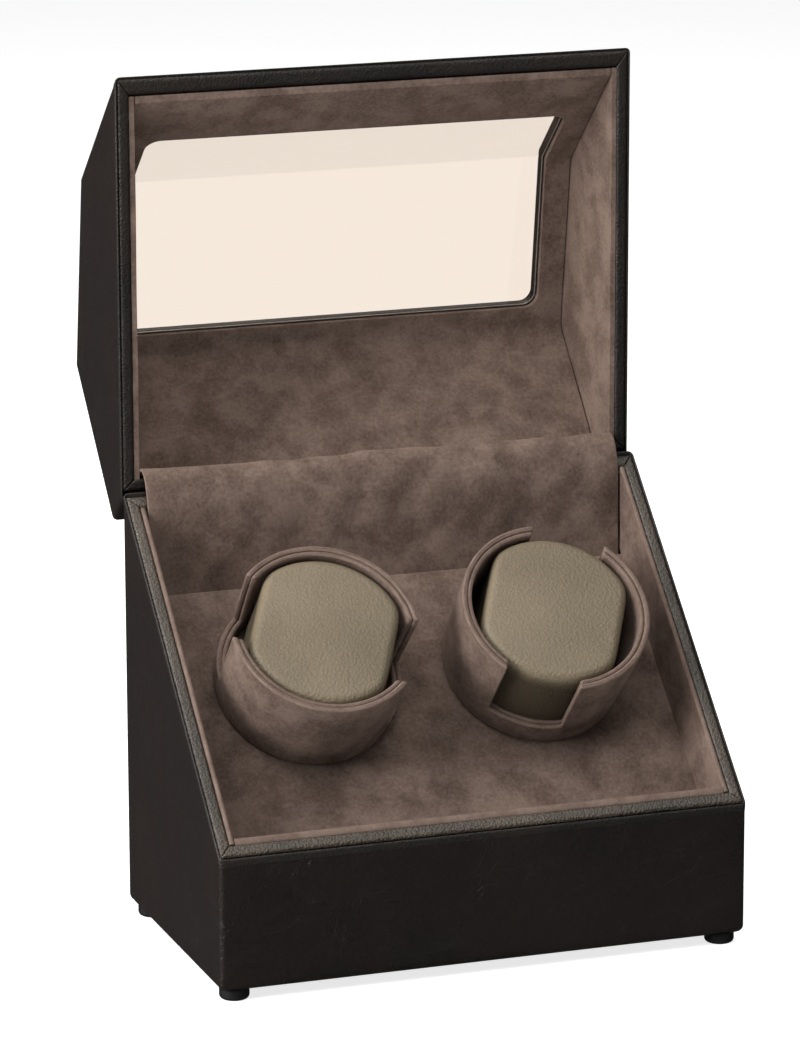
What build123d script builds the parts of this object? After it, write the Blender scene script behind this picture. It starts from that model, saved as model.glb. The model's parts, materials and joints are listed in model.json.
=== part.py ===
"""Two-place watch winder box with its lid open.

A leather-covered case with a sloping rim carries a suede-covered deck.  Two suede cups stand
square to the deck and are turned by geared motors under it.  A five-sided lid with a bent clear
window hinges at the top of the case's back.  Millimetres, +Z up, front towards -Y.
"""

import math
import os

from build123d import *

# Case
case_width = 250.0
case_depth = 142.5
case_front_height = 61.3  # underside to rim, at the front
case_back_height = 194.5  # underside to rim, at the back
side_wall = 6.5
front_wall = 5.5
back_wall = 6.5
base_thickness = 6.0
rim_pad = 2.5  # padded leather on the rims
lining = 2.5  # suede on card
lining_proud = 0.2
foot_height = 5.5
foot_radius = 6.8
foot_inset_x = 9.0
foot_inset_y = 9.0
foot_rounding = 1.8
foot_screw_radius = 1.5
foot_screw_head = 3.0
foot_screw_fit = 0.2  # round the head in its counterbore
foot_counterbore = 2.2
foot_screw_stop = 1.0  # base left over the screw's tip

# Deck, which lies parallel to the rim
deck_drop = 28.15  # square to the rim, down to the suede
deck_board = 4.0
deck_fit = 0.3  # round the deck, to the walls
deck_back_gap = 2.4  # between the deck and the flap behind it
cleat = 7.0
flap_thickness = 1.6
flap_fit = 0.3
flap_side_gap = 0.25

spare = 1.0  # how far a cut runs past the face it opens

# Lid, described closed
lid_inset = 0.75  # each side is this much narrower than the case
lid_wall = 6.5
lid_lining = 2.5
lid_front_height = 83.0
lid_top_depth = 85.0
lid_back_height = 21.7
lid_opening = 133.08  # degrees
rim_gap = 0.6  # between the two rims when the lid is closed
lining_gap = 1.2

# Window in the lid, a clear sheet bent over the fold between the front and sloping panels
window_half_width = 101.5
window_down_slope = 76.0  # from the fold, up the sloping panel
window_down_front = 39.8  # from the fold, down the front panel
window_corner = 6.0
pane_thickness = 2.0
pane_ledge = 4.0
pane_clearance = 0.3
lining_window_gap = 0.5  # the lining's opening is this much larger all round

# Hinges at the back of the case
pivot_behind = 1.0  # behind the case's back face
pivot_below = 2.75  # below the rim's back edge
hinge_spacing = 75.0  # from the middle of the case
hinge_length = 32.0
hinge_knuckles = 5
knuckle_gap = 0.2
knuckle_radius = 2.2
hinge_pin_radius = 1.0
hinge_running = 0.05
leaf_thickness = 1.0
leaf_height = 13.0
hinge_clearance = 0.5
hinge_screw_radius = 1.1
hinge_screw_head = 2.0
hinge_screw_reach = 5.0
hinge_screw_spacing = 20.0
hinge_screw_head_height = 0.8
case_screw_shift = -1.5  # from the middle of the leaf, along it
lid_screw_shift = 3.0
neck_bore_fit = 0.4
neck_overlap = 0.5

# Cups and cushions, square to the deck
cup_spacing = 55.1  # from the middle of the case
cup_up_slope = 100.5
cup_radius = 44.1
cup_height = 49.4  # deck to the top edge
cup_lift = 0.8  # deck to the cup's underside
cup_wrap = 2.5
cup_liner = 2.2
cup_floor = 3.0
liner_recess = 0.4  # under the wrap's edge
notch_width = 34.0
notch_depth = 36.0
notch_axis = {"left": 156.5, "right": 66.0}  # degrees from +X
cushion_flats = 64.0
cushion_clearance = 1.0
cushion_axis = 66.0  # the way the flats run, degrees from +X
cushion_rounding = 4.0
cushion_recess = 0.5  # below the cup's edge

# Drive under the deck
spindle_radius = 3.0
spindle_flange = 14.0
spindle_flange_thickness = 2.0
running = 0.05
bush_radius = 4.5
bush_flange = 7.0
bush_flange_thickness = 0.6
gear_module = 0.7
gear_teeth = 54
pinion_teeth = 18
gear_backlash = 0.16
gear_pressure_angle = 20.0  # degrees
gear_dedendum = 1.25  # modules
flank_steps = 4  # straight runs on each tooth flank
gear_thickness = 4.0
gear_gap = 2.0  # under the deck board, and over the plate
plate_thickness = 2.0
plate_edge = 4.5  # from a screw to the plate's edge
plate_screw_out = 18.0  # from a spindle to the screws beside it
plate_screw_back = 9.0  # from a motor to the screws below it
motor_radius = 13.5
motor_length = 32.0
motor_shaft_radius = 2.0
motor_boss_radius = 4.0
motor_boss_recess = 0.4  # under the plate's top
motor_bore_depth = 5.0
motor_rounding = 2.0
pinion_shaft_reach = 4.0  # into the motor
standoff_radius = 3.5
plate_screw_radius = 1.5
plate_screw_head = 2.8
plate_screw_stop = 1.0  # deck left over the screw's tip
screw_head_height = 1.6
spindle_tail = 3.0

# Power and program controls on the back
control_height = 34.0
knob_spacing = 30.0
knob_radius = 8.0
knob_height = 9.0
knob_gap = 0.6
knob_shaft_radius = 2.0
knob_shaft_gap = 1.5  # from its end to the circuit board
knob_shaft_bite = 1.0  # into the knob
knob_chamfer = 0.8
knob_mark_half = 0.6
knob_mark_depth = 0.8
knob_mark_start = 1.5  # from the knob's middle
switch_size = 12.0
switch_depth = 6.0
switch_bush_radius = 3.5
switch_floor = 1.0
jack_radius = 4.0
jack_bore = 2.75
jack_pin = 1.0
jack_depth = 9.0
jack_body = 12.0
jack_pin_root = 0.5
jack_pin_recess = 1.5  # inside the case's back face
board_width = 90.0
board_height = 34.0
board_thickness = 1.6
chip_thickness = 2.0
chip_half_width = 6.0
chip_half_height = 8.0

rim_angle = math.atan2(case_back_height - case_front_height, case_depth)
rim_sin = math.sin(rim_angle)
rim_cos = math.cos(rim_angle)
half_width = case_width / 2
lid_half_width = half_width - lid_inset
lid_fold_height = case_front_height + lid_front_height
lid_top_height = case_back_height + lid_back_height
lid_top_front = case_depth - lid_top_depth
window_angle = math.atan2(lid_top_height - lid_fold_height, lid_top_front)
pivot = (case_depth + pivot_behind, case_back_height - pivot_below)
lining_inside = half_width - side_wall - lining
lid_inner_half = lid_half_width - lid_wall
lid_lining_half = lid_inner_half - lid_lining
flap_half = min(lining_inside, lid_lining_half) - flap_side_gap

nodes = {}


def rim_height(depth, lift=0.0):
    """Height of the rim's plane, moved square to itself by lift, at a depth from the front."""
    return case_front_height + depth * math.tan(rim_angle) + lift / rim_cos


def slab(outline, left, right):
    """A solid with a depth and height outline, from left to right along X."""
    face = make_face(Plane.YZ * Polyline(*outline, close=True))
    return Pos(left, 0, 0) * extrude(face, amount=right - left, dir=(1, 0, 0))


def block(x, y, z):
    """A box from three (low, high) pairs."""
    middle = [sum(pair) / 2 for pair in (x, y, z)]
    return Pos(*middle) * Box(x[1] - x[0], y[1] - y[0], z[1] - z[0])


def rod(radius, low, high):
    """A cylinder about Z between two heights."""
    return Pos(0, 0, (low + high) / 2) * Cylinder(radius, high - low)


def band(near, far, low, high, left, right):
    """A flat bar parallel to the rim: depths near to far, and low to high square to the rim."""
    outline = [
        (near, rim_height(near, low)),
        (far, rim_height(far, low)),
        (far, rim_height(far, high)),
        (near, rim_height(near, high)),
    ]
    return slab(outline, left, right)


deck_frame = Plane(
    origin=(0, 0, case_front_height), x_dir=(1, 0, 0), z_dir=(0, -rim_sin, rim_cos)
)


def on_deck(shape, across=0.0, up=cup_up_slope, turn=0.0):
    """Stands a shape on the deck: its Z becomes the height above the suede."""
    return deck_frame.location * (Pos(across, up, -deck_drop) * (Rot(0, 0, turn) * shape))


def opened(shape):
    """Swings a piece of the closed lid to where it rests when open."""
    return shape.rotate(Axis((0, pivot[0], pivot[1]), (1, 0, 0)), -lid_opening)


# Case panels
def deck_depth(up, drop):
    """Depth from the front of a point up the slope and below the rim."""
    return up * rim_cos + drop * rim_sin


def case_outline(near, far, low):
    """Outline of an upright panel between two depths, topped by the rim pad."""
    return [
        (near, low),
        (far, low),
        (far, rim_height(far, -rim_pad)),
        (near, rim_height(near, -rim_pad)),
    ]


def hinge_pocket():
    """The room that both hinge barrels and their leaves take out of the case's back."""
    deep = knuckle_radius + hinge_clearance
    half = hinge_length / 2 + hinge_clearance
    barrel_room = block(
        (-half, half),
        (pivot[0] - deep, pivot[0] + deep),
        (pivot[1] - deep, pivot[1] + 3 * deep),
    )
    leaf_room = block(
        (-half, half),
        (pivot[0] - knuckle_radius, pivot[0] + deep),
        (pivot[1] - leaf_height - hinge_clearance, pivot[1]),
    )
    room = barrel_room + leaf_room
    return [Pos(side * hinge_spacing, 0, 0) * room for side in (-1, 1)]


def hinge_screw_spots(height):
    """Centres of the hinge screws at a height, as (x, z)."""
    half = hinge_screw_spacing / 2
    return [
        (side * hinge_spacing + off, height) for side in (-1, 1) for off in (-half, half)
    ]


def across_back(radius, x, z, near, far):
    """A cylinder along Y through the back wall."""
    return Pos(x, (near + far) / 2, z) * (Rot(90, 0, 0) * Cylinder(radius, far - near))


inner_half = half_width - side_wall
back_inside = case_depth - back_wall
knob_places = {"left": -knob_spacing, "right": knob_spacing}
body_screw_height = pivot[1] - leaf_height / 2 + case_screw_shift
leaf_outside = pivot[0] - knuckle_radius + leaf_thickness

for side, name in ((-1, "left"), (1, "right")):
    edges = sorted((side * half_width, side * inner_half))
    nodes[f"case_side_{name}"] = slab(case_outline(0, case_depth, 0), *edges)
nodes["case_front"] = slab(case_outline(0, front_wall, 0), -inner_half, inner_half)
back_panel = slab(case_outline(back_inside, case_depth, 0), -inner_half, inner_half)
back_panel -= hinge_pocket()
for x, z in hinge_screw_spots(body_screw_height):
    back_panel -= across_back(
        hinge_screw_radius, x, z, leaf_outside - hinge_screw_reach, case_depth + spare
    )
for x in knob_places.values():
    back_panel -= across_back(
        switch_bush_radius, x, control_height, back_inside - spare, case_depth + spare
    )
back_panel -= across_back(
    jack_radius, 0, control_height, back_inside - spare, case_depth + spare
)
nodes["case_back"] = back_panel

foot_spots = [
    (x, y)
    for x in (foot_inset_x - half_width, half_width - foot_inset_x)
    for y in (foot_inset_y, case_depth - foot_inset_y)
]
foot_screw_reach = base_thickness - foot_screw_stop
base_panel = block(
    (-inner_half, inner_half), (front_wall, back_inside), (0, base_thickness)
)
feet = []
foot_screws = []
for x, y in foot_spots:
    place = Pos(x, y, 0)
    base_panel -= place * rod(foot_screw_radius, -spare, foot_screw_reach)
    foot = rod(foot_radius, -foot_height, 0)
    foot = fillet(foot.edges().group_by(Axis.Z)[0], foot_rounding)
    foot -= rod(foot_screw_radius, -foot_height, 0)
    foot -= rod(foot_screw_head + foot_screw_fit, -foot_height, foot_counterbore - foot_height)
    feet.append(place * foot)
    head_low = foot_counterbore - foot_height - screw_head_height
    screw = rod(foot_screw_head, head_low, head_low + screw_head_height)
    screw += rod(foot_screw_radius, head_low, foot_screw_reach)
    foot_screws.append(place * screw)
nodes["case_base"] = base_panel
nodes["feet"] = Compound(children=feet)
nodes["foot_screws"] = Compound(children=foot_screws)

# Padded rim of the case
case_rim = band(0, case_depth, -rim_pad, 0, -half_width, half_width)
case_rim -= band(
    front_wall, back_inside, -2 * rim_pad, rim_pad, -inner_half, inner_half
)
case_rim -= hinge_pocket()
nodes["case_rim_pad"] = case_rim

# Suede linings above the deck
lining_front_inside = front_wall + lining
for side, name in ((-1, "left"), (1, "right")):
    edges = sorted((side * inner_half, side * lining_inside))
    nodes[f"case_lining_{name}"] = band(
        front_wall, back_inside, -deck_drop, lining_proud, *edges
    )
nodes["case_lining_front"] = band(
    front_wall, lining_front_inside, -deck_drop, lining_proud, -lining_inside, lining_inside
)

# Deck and what carries it
flap_back = back_inside - flap_fit
flap_front = flap_back - flap_thickness
deck_back = flap_front - deck_back_gap
deck_front = front_wall + deck_fit
deck_outline = [
    (deck_front, rim_height(deck_front, -deck_drop)),
    (deck_back, rim_height(deck_back, -deck_drop)),
    (deck_back, rim_height(deck_back, -deck_drop - deck_board)),
    (deck_front, rim_height(deck_front, -deck_drop - deck_board)),
]
deck = slab(deck_outline, -inner_half + deck_fit, inner_half - deck_fit)
cleat_low = -deck_drop - deck_board - cleat
base_meets_cleat = (base_thickness - rim_height(0, cleat_low)) / math.tan(rim_angle)
cleat_front = max(front_wall, base_meets_cleat)
for side, name in ((-1, "left"), (1, "right")):
    edges = sorted((side * inner_half, side * (inner_half - cleat)))
    nodes[f"deck_cleat_{name}"] = band(
        cleat_front, deck_back, cleat_low, -deck_drop - deck_board, *edges
    )

# Suede flap over the hinge line: a strip on the case's back and one on the lid's back
flap_low = rim_height(deck_back, -deck_drop - deck_board)
flap_outline = [
    (flap_front, flap_low),
    (flap_back, flap_low),
    (flap_back, rim_height(flap_back, -flap_fit)),
    (flap_front, rim_height(flap_front, -flap_fit)),
]
nodes["hinge_flap_lower"] = slab(flap_outline, -flap_half, flap_half)


# Lid
def lid_profile(depth, lift):
    """The closed lid's outline at a depth inside its surface, from its front rim to its back."""
    tilt = math.tan(window_angle)
    shift = depth / math.cos(window_angle)
    fold = (depth, lid_fold_height + depth * tilt - shift)
    ceiling = lid_top_height - depth
    crease = ((ceiling - lid_fold_height + shift) / tilt, ceiling)
    back = case_depth - depth
    return [
        (depth, rim_height(depth, lift)),
        fold,
        crease,
        (back, ceiling),
        (back, rim_height(back, lift)),
    ]


def lid_panel(index, outer, inner, lift, half):
    """One mitred panel of the closed lid: 0 front, 1 window, 2 top, 3 back."""
    outside = lid_profile(outer, lift)
    inside = lid_profile(inner, lift)
    outline = [outside[index], outside[index + 1], inside[index + 1], inside[index]]
    return slab(outline, -half, half)


def window_cutter(index, grow):
    """A round-cornered block that takes the window out of the front or the sloping panel."""
    length = (window_down_front, window_down_slope)[index] + grow
    outward = ((0, -1, 0), (0, -math.sin(window_angle), math.cos(window_angle)))[index]
    plane = Plane(origin=(0, 0, lid_fold_height), x_dir=(1, 0, 0), z_dir=outward)
    sketch = RectangleRounded(
        2 * (window_half_width + grow), 2 * length, window_corner + grow
    )
    return plane.location * extrude(sketch, amount=3 * lid_wall, both=True)


lid_shell_lift = rim_gap + rim_pad
lid_screw_height = pivot[1] + leaf_height / 2 + lid_screw_shift


def lid_hinge_pocket():
    """The shallow rebates for the lid's hinge leaves."""
    half = hinge_length / 2 + hinge_clearance
    room = block(
        (-half, half),
        (pivot[0] - knuckle_radius, case_depth + spare),
        (pivot[1], pivot[1] + leaf_height + hinge_clearance),
    )
    return [Pos(side * hinge_spacing, 0, 0) * room for side in (-1, 1)]


shell_names = ["lid_front", "lid_window_frame", "lid_top", "lid_back"]
for index, name in enumerate(shell_names):
    panel = lid_panel(index, 0, lid_wall, lid_shell_lift, lid_inner_half)
    if index < 2:
        panel -= window_cutter(index, 0)
        rebate = lid_panel(
            index, lid_wall - pane_thickness, 2 * lid_wall, lid_shell_lift, lid_inner_half
        )
        panel -= rebate & window_cutter(index, pane_ledge)
    if index == 3:
        panel -= lid_hinge_pocket()
        for x, z in hinge_screw_spots(lid_screw_height):
            panel -= across_back(
                hinge_screw_radius, x, z, leaf_outside - hinge_screw_reach, case_depth + spare
            )
    nodes[name] = opened(panel)
for side, name in ((-1, "left"), (1, "right")):
    edges = sorted((side * lid_half_width, side * lid_inner_half))
    nodes[f"lid_side_{name}"] = opened(slab(lid_profile(0, lid_shell_lift), *edges))
    edges = sorted((side * lid_inner_half, side * lid_lining_half))
    nodes[f"lid_lining_{name}"] = opened(
        slab(lid_profile(lid_wall, lining_gap), *edges)
    )

lid_rim = band(0, case_depth, rim_gap, lid_shell_lift, -lid_half_width, lid_half_width)
lid_rim -= band(
    lid_wall, case_depth - lid_wall, 0, 2 * lid_shell_lift, -lid_inner_half, lid_inner_half
)
lid_rim -= lid_hinge_pocket()
nodes["lid_rim_pad"] = opened(lid_rim)

pane_parts = []
wrap_parts = []
for index in range(3):
    layer = lid_panel(
        index, lid_wall, lid_wall + lid_lining, lining_gap, lid_lining_half
    )
    if index < 2:
        layer -= window_cutter(index, lining_window_gap)
        sheet = lid_panel(
            index, lid_wall - pane_thickness, lid_wall, lid_shell_lift, lid_inner_half
        )
        pane_parts.append(sheet & window_cutter(index, pane_ledge - pane_clearance))
    wrap_parts.append(layer)
nodes["window_pane"] = opened(pane_parts[0] + pane_parts[1])
nodes["lid_lining_wrap"] = opened(wrap_parts[0] + wrap_parts[1] + wrap_parts[2])
lid_flap = lid_panel(
    3, lid_wall + flap_fit, lid_wall + flap_fit + flap_thickness, lining_gap, flap_half
)
lid_flap &= block(
    (-flap_half, flap_half),
    (0, case_depth),
    (0, lid_top_height - lid_wall - lid_lining - flap_fit),
)
nodes["hinge_flap_upper"] = opened(lid_flap)


# Hinges
def knuckle(start, bore):
    """One barrel segment along X, with its bore."""
    length = hinge_length / hinge_knuckles - knuckle_gap
    middle = start + length / 2 + knuckle_gap / 2
    turned = Rot(0, 90, 0)
    barrel = turned * Cylinder(knuckle_radius, length)
    hole = turned * Cylinder(bore, length + spare)
    return Pos(middle, 0, 0) * (barrel - hole)


def hinge_leaf(up):
    """A leaf with its knuckles, about its pivot; up is +1 for the lid's and -1 for the case's."""
    step = hinge_length / hinge_knuckles
    bore = hinge_pin_radius + (hinge_running if up > 0 else 0)
    own = [i for i in range(hinge_knuckles) if (i % 2 == 1) == (up > 0)]
    leaf_back = (-knuckle_radius, leaf_thickness - knuckle_radius)
    plate_start = knuckle_radius + knuckle_gap
    reach = sorted((up * plate_start, up * leaf_height))
    leaf = block((-hinge_length / 2, hinge_length / 2), leaf_back, reach)
    for i in own:
        start = -hinge_length / 2 + i * step
        neck = block(
            (start + knuckle_gap / 2, start + step - knuckle_gap / 2),
            leaf_back,
            sorted((0, up * (plate_start + neck_overlap))),
        )
        neck -= Rot(0, 90, 0) * Cylinder(hinge_pin_radius + neck_bore_fit, 2 * hinge_length)
        leaf += neck
        leaf += knuckle(start, bore)
    return leaf


def hinge_screw():
    """A pan-head screw along +Y, its head's seat at the origin."""
    shank = Pos(0, -hinge_screw_reach / 2, 0) * (
        Rot(90, 0, 0) * Cylinder(hinge_screw_radius, hinge_screw_reach)
    )
    head = Pos(0, hinge_screw_head_height / 2, 0) * (
        Rot(90, 0, 0) * Cylinder(hinge_screw_head, hinge_screw_head_height)
    )
    return shank + head


pins = []
for side, name in ((-1, "left"), (1, "right")):
    place = Pos(side * hinge_spacing, *pivot)
    for up, part in ((-1, "case"), (1, "lid")):
        leaf = place * hinge_leaf(up)
        height = lid_screw_height if up > 0 else body_screw_height
        for x, z in hinge_screw_spots(height):
            leaf -= across_back(
                hinge_screw_radius, x, z, leaf_outside - hinge_screw_reach, case_depth + spare
            )
        nodes[f"hinge_leaf_{part}_{name}"] = opened(leaf) if up > 0 else leaf
    pins.append(place * (Rot(0, 90, 0) * Cylinder(hinge_pin_radius, hinge_length)))
nodes["hinge_pins"] = Compound(children=pins)
nodes["hinge_screws_case"] = Compound(
    children=[
        Pos(x, leaf_outside, z) * hinge_screw()
        for x, z in hinge_screw_spots(body_screw_height)
    ]
)
nodes["hinge_screws_lid"] = Compound(
    children=[
        opened(Pos(x, leaf_outside, z) * hinge_screw())
        for x, z in hinge_screw_spots(lid_screw_height)
    ]
)


# Gears
def involute(angle):
    """The involute function of a pressure angle."""
    return math.tan(angle) - angle


def gear(teeth, thickness, low):
    """A spur gear about Z with involute flanks, a tooth centred on +X."""
    pressure = math.radians(gear_pressure_angle)
    pitch = gear_module * teeth / 2
    base = pitch * math.cos(pressure)
    tip = pitch + gear_module
    root = pitch - gear_dedendum * gear_module
    half_tooth = math.pi / (2 * teeth) - gear_backlash / (4 * pitch)
    start = max(base, root)
    radii = [start + (tip - start) * i / flank_steps for i in range(flank_steps + 1)]
    flank = [
        (r, half_tooth + involute(pressure) - involute(math.acos(min(1.0, base / r))))
        for r in radii
    ]
    if base > root:
        flank.insert(0, (root, flank[0][1]))
    outline = []
    for tooth in range(teeth):
        middle = 2 * math.pi * tooth / teeth
        for r, angle in flank:
            outline.append((r * math.cos(middle - angle), r * math.sin(middle - angle)))
        for r, angle in reversed(flank):
            outline.append((r * math.cos(middle + angle), r * math.sin(middle + angle)))
    face = make_face(Polyline(*outline, close=True))
    return Pos(0, 0, low) * extrude(face, amount=thickness, dir=(0, 0, 1))


# Cups and drives
gear_high = -deck_board - gear_gap
gear_low = gear_high - gear_thickness
plate_high = gear_low - gear_gap
plate_low = plate_high - plate_thickness
motor_low = plate_low - motor_length
centre_distance = gear_module * (gear_teeth + pinion_teeth) / 2
floor_top = cup_lift + cup_floor
flange_top = floor_top + spindle_flange_thickness
liner_outer = cup_radius - cup_wrap
liner_inner = liner_outer - cup_liner
cushion_radius = liner_inner - cushion_clearance
cushion_low = flange_top + cushion_clearance / 2
cushion_high = cup_height - cushion_recess
notch_low = cup_height - notch_depth


def cup_notches():
    """The two finger notches, on opposite sides of the cup."""
    return block(
        (-2 * cup_radius, 2 * cup_radius),
        (-notch_width / 2, notch_width / 2),
        (notch_low, cup_height + spare),
    )


def cushion():
    """The pillow that a watch is strapped round, with two flat sides."""
    pillow = rod(cushion_radius, cushion_low, cushion_high)
    pillow &= block(
        (-2 * cushion_radius, 2 * cushion_radius),
        (-cushion_flats / 2, cushion_flats / 2),
        (0, 2 * cup_height),
    )
    return fillet(pillow.edges().group_by(Axis.Z)[-1], cushion_rounding)


plate_screw_spots = []
screw_x = cup_spacing + plate_screw_out
screw_up = (cup_up_slope - centre_distance - plate_screw_back, cup_up_slope + plate_screw_out)
plate = block(
    (-screw_x - plate_edge, screw_x + plate_edge),
    (screw_up[0] - plate_edge, screw_up[1] + plate_edge),
    (plate_low, plate_high),
)
for x in (-screw_x, 0, screw_x):
    for up in screw_up:
        plate_screw_spots.append((x, up))
bushes = []
for side, name in ((-1, "left"), (1, "right")):
    across = side * cup_spacing
    turn = notch_axis[name]
    wrap = rod(cup_radius, cup_lift, cup_height) - rod(liner_outer, floor_top, 2 * cup_height)
    wrap -= rod(spindle_radius, 0, cup_height)
    wrap -= cup_notches()
    nodes[f"cup_wrap_{name}"] = on_deck(wrap, across, turn=turn)
    liner = rod(liner_outer, floor_top, cup_height - liner_recess)
    liner -= rod(liner_inner, 0, 2 * cup_height)
    liner -= cup_notches()
    nodes[f"cup_liner_{name}"] = on_deck(liner, across, turn=turn)
    nodes[f"cushion_{name}"] = on_deck(cushion(), across, turn=cushion_axis)
    spindle = rod(spindle_flange, floor_top, flange_top)
    spindle += rod(spindle_radius, plate_low - spindle_tail, flange_top)
    nodes[f"spindle_{name}"] = on_deck(spindle, across)
    wheel = gear(gear_teeth, gear_thickness, gear_low)
    wheel += rod(2 * spindle_radius, gear_low - gear_gap / 2, gear_low)
    wheel -= rod(spindle_radius, 2 * gear_low, 0)
    nodes[f"drive_gear_{name}"] = on_deck(wheel, across, turn=-90)
    # A gap between the pinion's teeth faces the wheel's tooth.
    pinion = gear(pinion_teeth, gear_thickness, gear_low)
    pinion = Rot(0, 0, 90 + 180 / pinion_teeth) * pinion
    pinion += rod(motor_shaft_radius, plate_low - pinion_shaft_reach, gear_high)
    motor_up = cup_up_slope - centre_distance
    nodes[f"pinion_{name}"] = on_deck(pinion, across, motor_up)
    motor = rod(motor_radius, motor_low, plate_low)
    motor = fillet(motor.edges().group_by(Axis.Z)[0], motor_rounding)
    motor += rod(motor_boss_radius, plate_low, plate_high - motor_boss_recess)
    motor -= rod(motor_shaft_radius + running, plate_low - motor_bore_depth, plate_high)
    nodes[f"motor_{name}"] = on_deck(motor, across, motor_up)
    upper = rod(bush_radius, -deck_board - gear_gap / 2, 0)
    upper += rod(bush_flange, 0, bush_flange_thickness)
    lower = rod(bush_radius, plate_low - gear_gap / 2, plate_high)
    for bush in (upper, lower):
        bush -= rod(spindle_radius + running, 2 * motor_low, cup_height)
        bushes.append(on_deck(bush, across))
    hole = rod(bush_radius, 2 * plate_low, cup_height)
    deck -= on_deck(hole, across)
    plate -= Pos(across, cup_up_slope, 0) * hole
    plate -= Pos(across, motor_up, 0) * rod(motor_boss_radius, 2 * plate_low, 0)
nodes["spindle_bushes"] = Compound(children=bushes)

standoffs = []
plate_screws = []
screw_tip = -plate_screw_stop
for x, up in plate_screw_spots:
    hole = rod(plate_screw_radius, 2 * plate_low, screw_tip)
    plate -= Pos(x, up, 0) * hole
    deck -= on_deck(hole, x, up)
    post = rod(standoff_radius, plate_high, -deck_board) - hole
    standoffs.append(on_deck(post, x, up))
    screw = rod(plate_screw_radius, plate_low, screw_tip)
    screw += rod(plate_screw_head, plate_low - screw_head_height, plate_low)
    plate_screws.append(on_deck(screw, x, up))
nodes["deck_board"] = deck
nodes["motor_plate"] = on_deck(plate, 0, 0)
nodes["plate_standoffs"] = Compound(children=standoffs)
nodes["plate_screws"] = Compound(children=plate_screws)

# Controls
board_front = back_inside - switch_depth - board_thickness
board_back = back_inside - switch_depth
board = block(
    (-board_width / 2, board_width / 2),
    (board_front, board_back),
    (control_height - board_height / 2, control_height + board_height / 2),
)
chip_low = board_front - chip_thickness
chip_span = (control_height - chip_half_height, control_height + chip_half_height)
for x in (-board_width / 4, board_width / 4):
    board += block(
        (x - chip_half_width, x + chip_half_width), (chip_low, board_front), chip_span
    )
nodes["circuit_board"] = board

switches = []
knob_low = case_depth + knob_gap
for name, x in knob_places.items():
    half = switch_size / 2
    body = block(
        (x - half, x + half), (board_back, back_inside), (control_height - half, control_height + half)
    )
    body += across_back(switch_bush_radius, x, control_height, board_back, case_depth)
    body -= across_back(
        knob_shaft_radius + running, x, control_height, board_back + switch_floor, case_depth + spare
    )
    switches.append(body)
    knob = across_back(knob_radius, x, control_height, knob_low, knob_low + knob_height)
    knob = chamfer(knob.edges().group_by(Axis.Y)[-1], knob_chamfer)
    knob -= block(
        (x - knob_mark_half, x + knob_mark_half),
        (knob_low + knob_height - knob_mark_depth, knob_low + knob_height + spare),
        (control_height + knob_mark_start, control_height + knob_radius + spare),
    )
    knob += across_back(
        knob_shaft_radius,
        x,
        control_height,
        board_back + knob_shaft_gap,
        knob_low + knob_shaft_bite,
    )
    nodes[f"program_knob_{name}"] = knob
nodes["program_switches"] = Compound(children=switches)

half = jack_body / 2
jack = block(
    (-half, half), (board_back, back_inside), (control_height - half, control_height + half)
)
jack += across_back(jack_radius, 0, control_height, board_back, case_depth)
jack -= across_back(jack_bore, 0, control_height, case_depth - jack_depth, case_depth + spare)
jack += across_back(
    jack_pin, 0, control_height, case_depth - jack_depth - jack_pin_root, case_depth - jack_pin_recess
)
nodes["power_inlet"] = jack

os.makedirs("parts", exist_ok=True)
whole = Compound(children=[shape.moved(Location()) for shape in nodes.values()]).bounding_box()
shift = Location((-(whole.min.X + whole.max.X) / 2, -(whole.min.Y + whole.max.Y) / 2, -whole.min.Z))
for name, shape in nodes.items():
    moved = shape.moved(shift)
    export_step(moved, f"parts/{name}.step")


def told(label, point):
    """Prints a point in the part's frame, in metres."""
    place = shift.position + Vector(*point)
    print(label, [round(value / 1000, 6) for value in (place.X, place.Y, place.Z)])


told("lid pivot", (0, *pivot))
for side, name in ((-1, "left"), (1, "right")):
    for label, up in (("cup", cup_up_slope), ("pinion", cup_up_slope - centre_distance)):
        depth = deck_depth(up, deck_drop)
        told(f"{label} axis {name}", (side * cup_spacing, depth, rim_height(depth, -deck_drop)))
    told(f"knob axis {name}", (knob_places[name], knob_low, control_height))
told("power inlet", (0, case_depth, control_height))
print("deck normal", [0, round(-rim_sin, 6), round(rim_cos, 6)])
print("size", whole.size, "nodes", len(nodes))
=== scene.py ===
"""Looks for the two-place watch winder box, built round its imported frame.

Every sub-assembly is a class that holds its sizes in millimetres and builds its own skins.
A skin is worked out as whole numpy arrays: a wall profile carried along a path, or an outer and
an inner grid of the same two parameters sewn together along their edges and openings.
"""

from __future__ import annotations

import json
import logging
import math
from dataclasses import dataclass, field
from enum import Enum

import bpy
import numpy as np
from mathutils import Matrix, Vector


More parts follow.
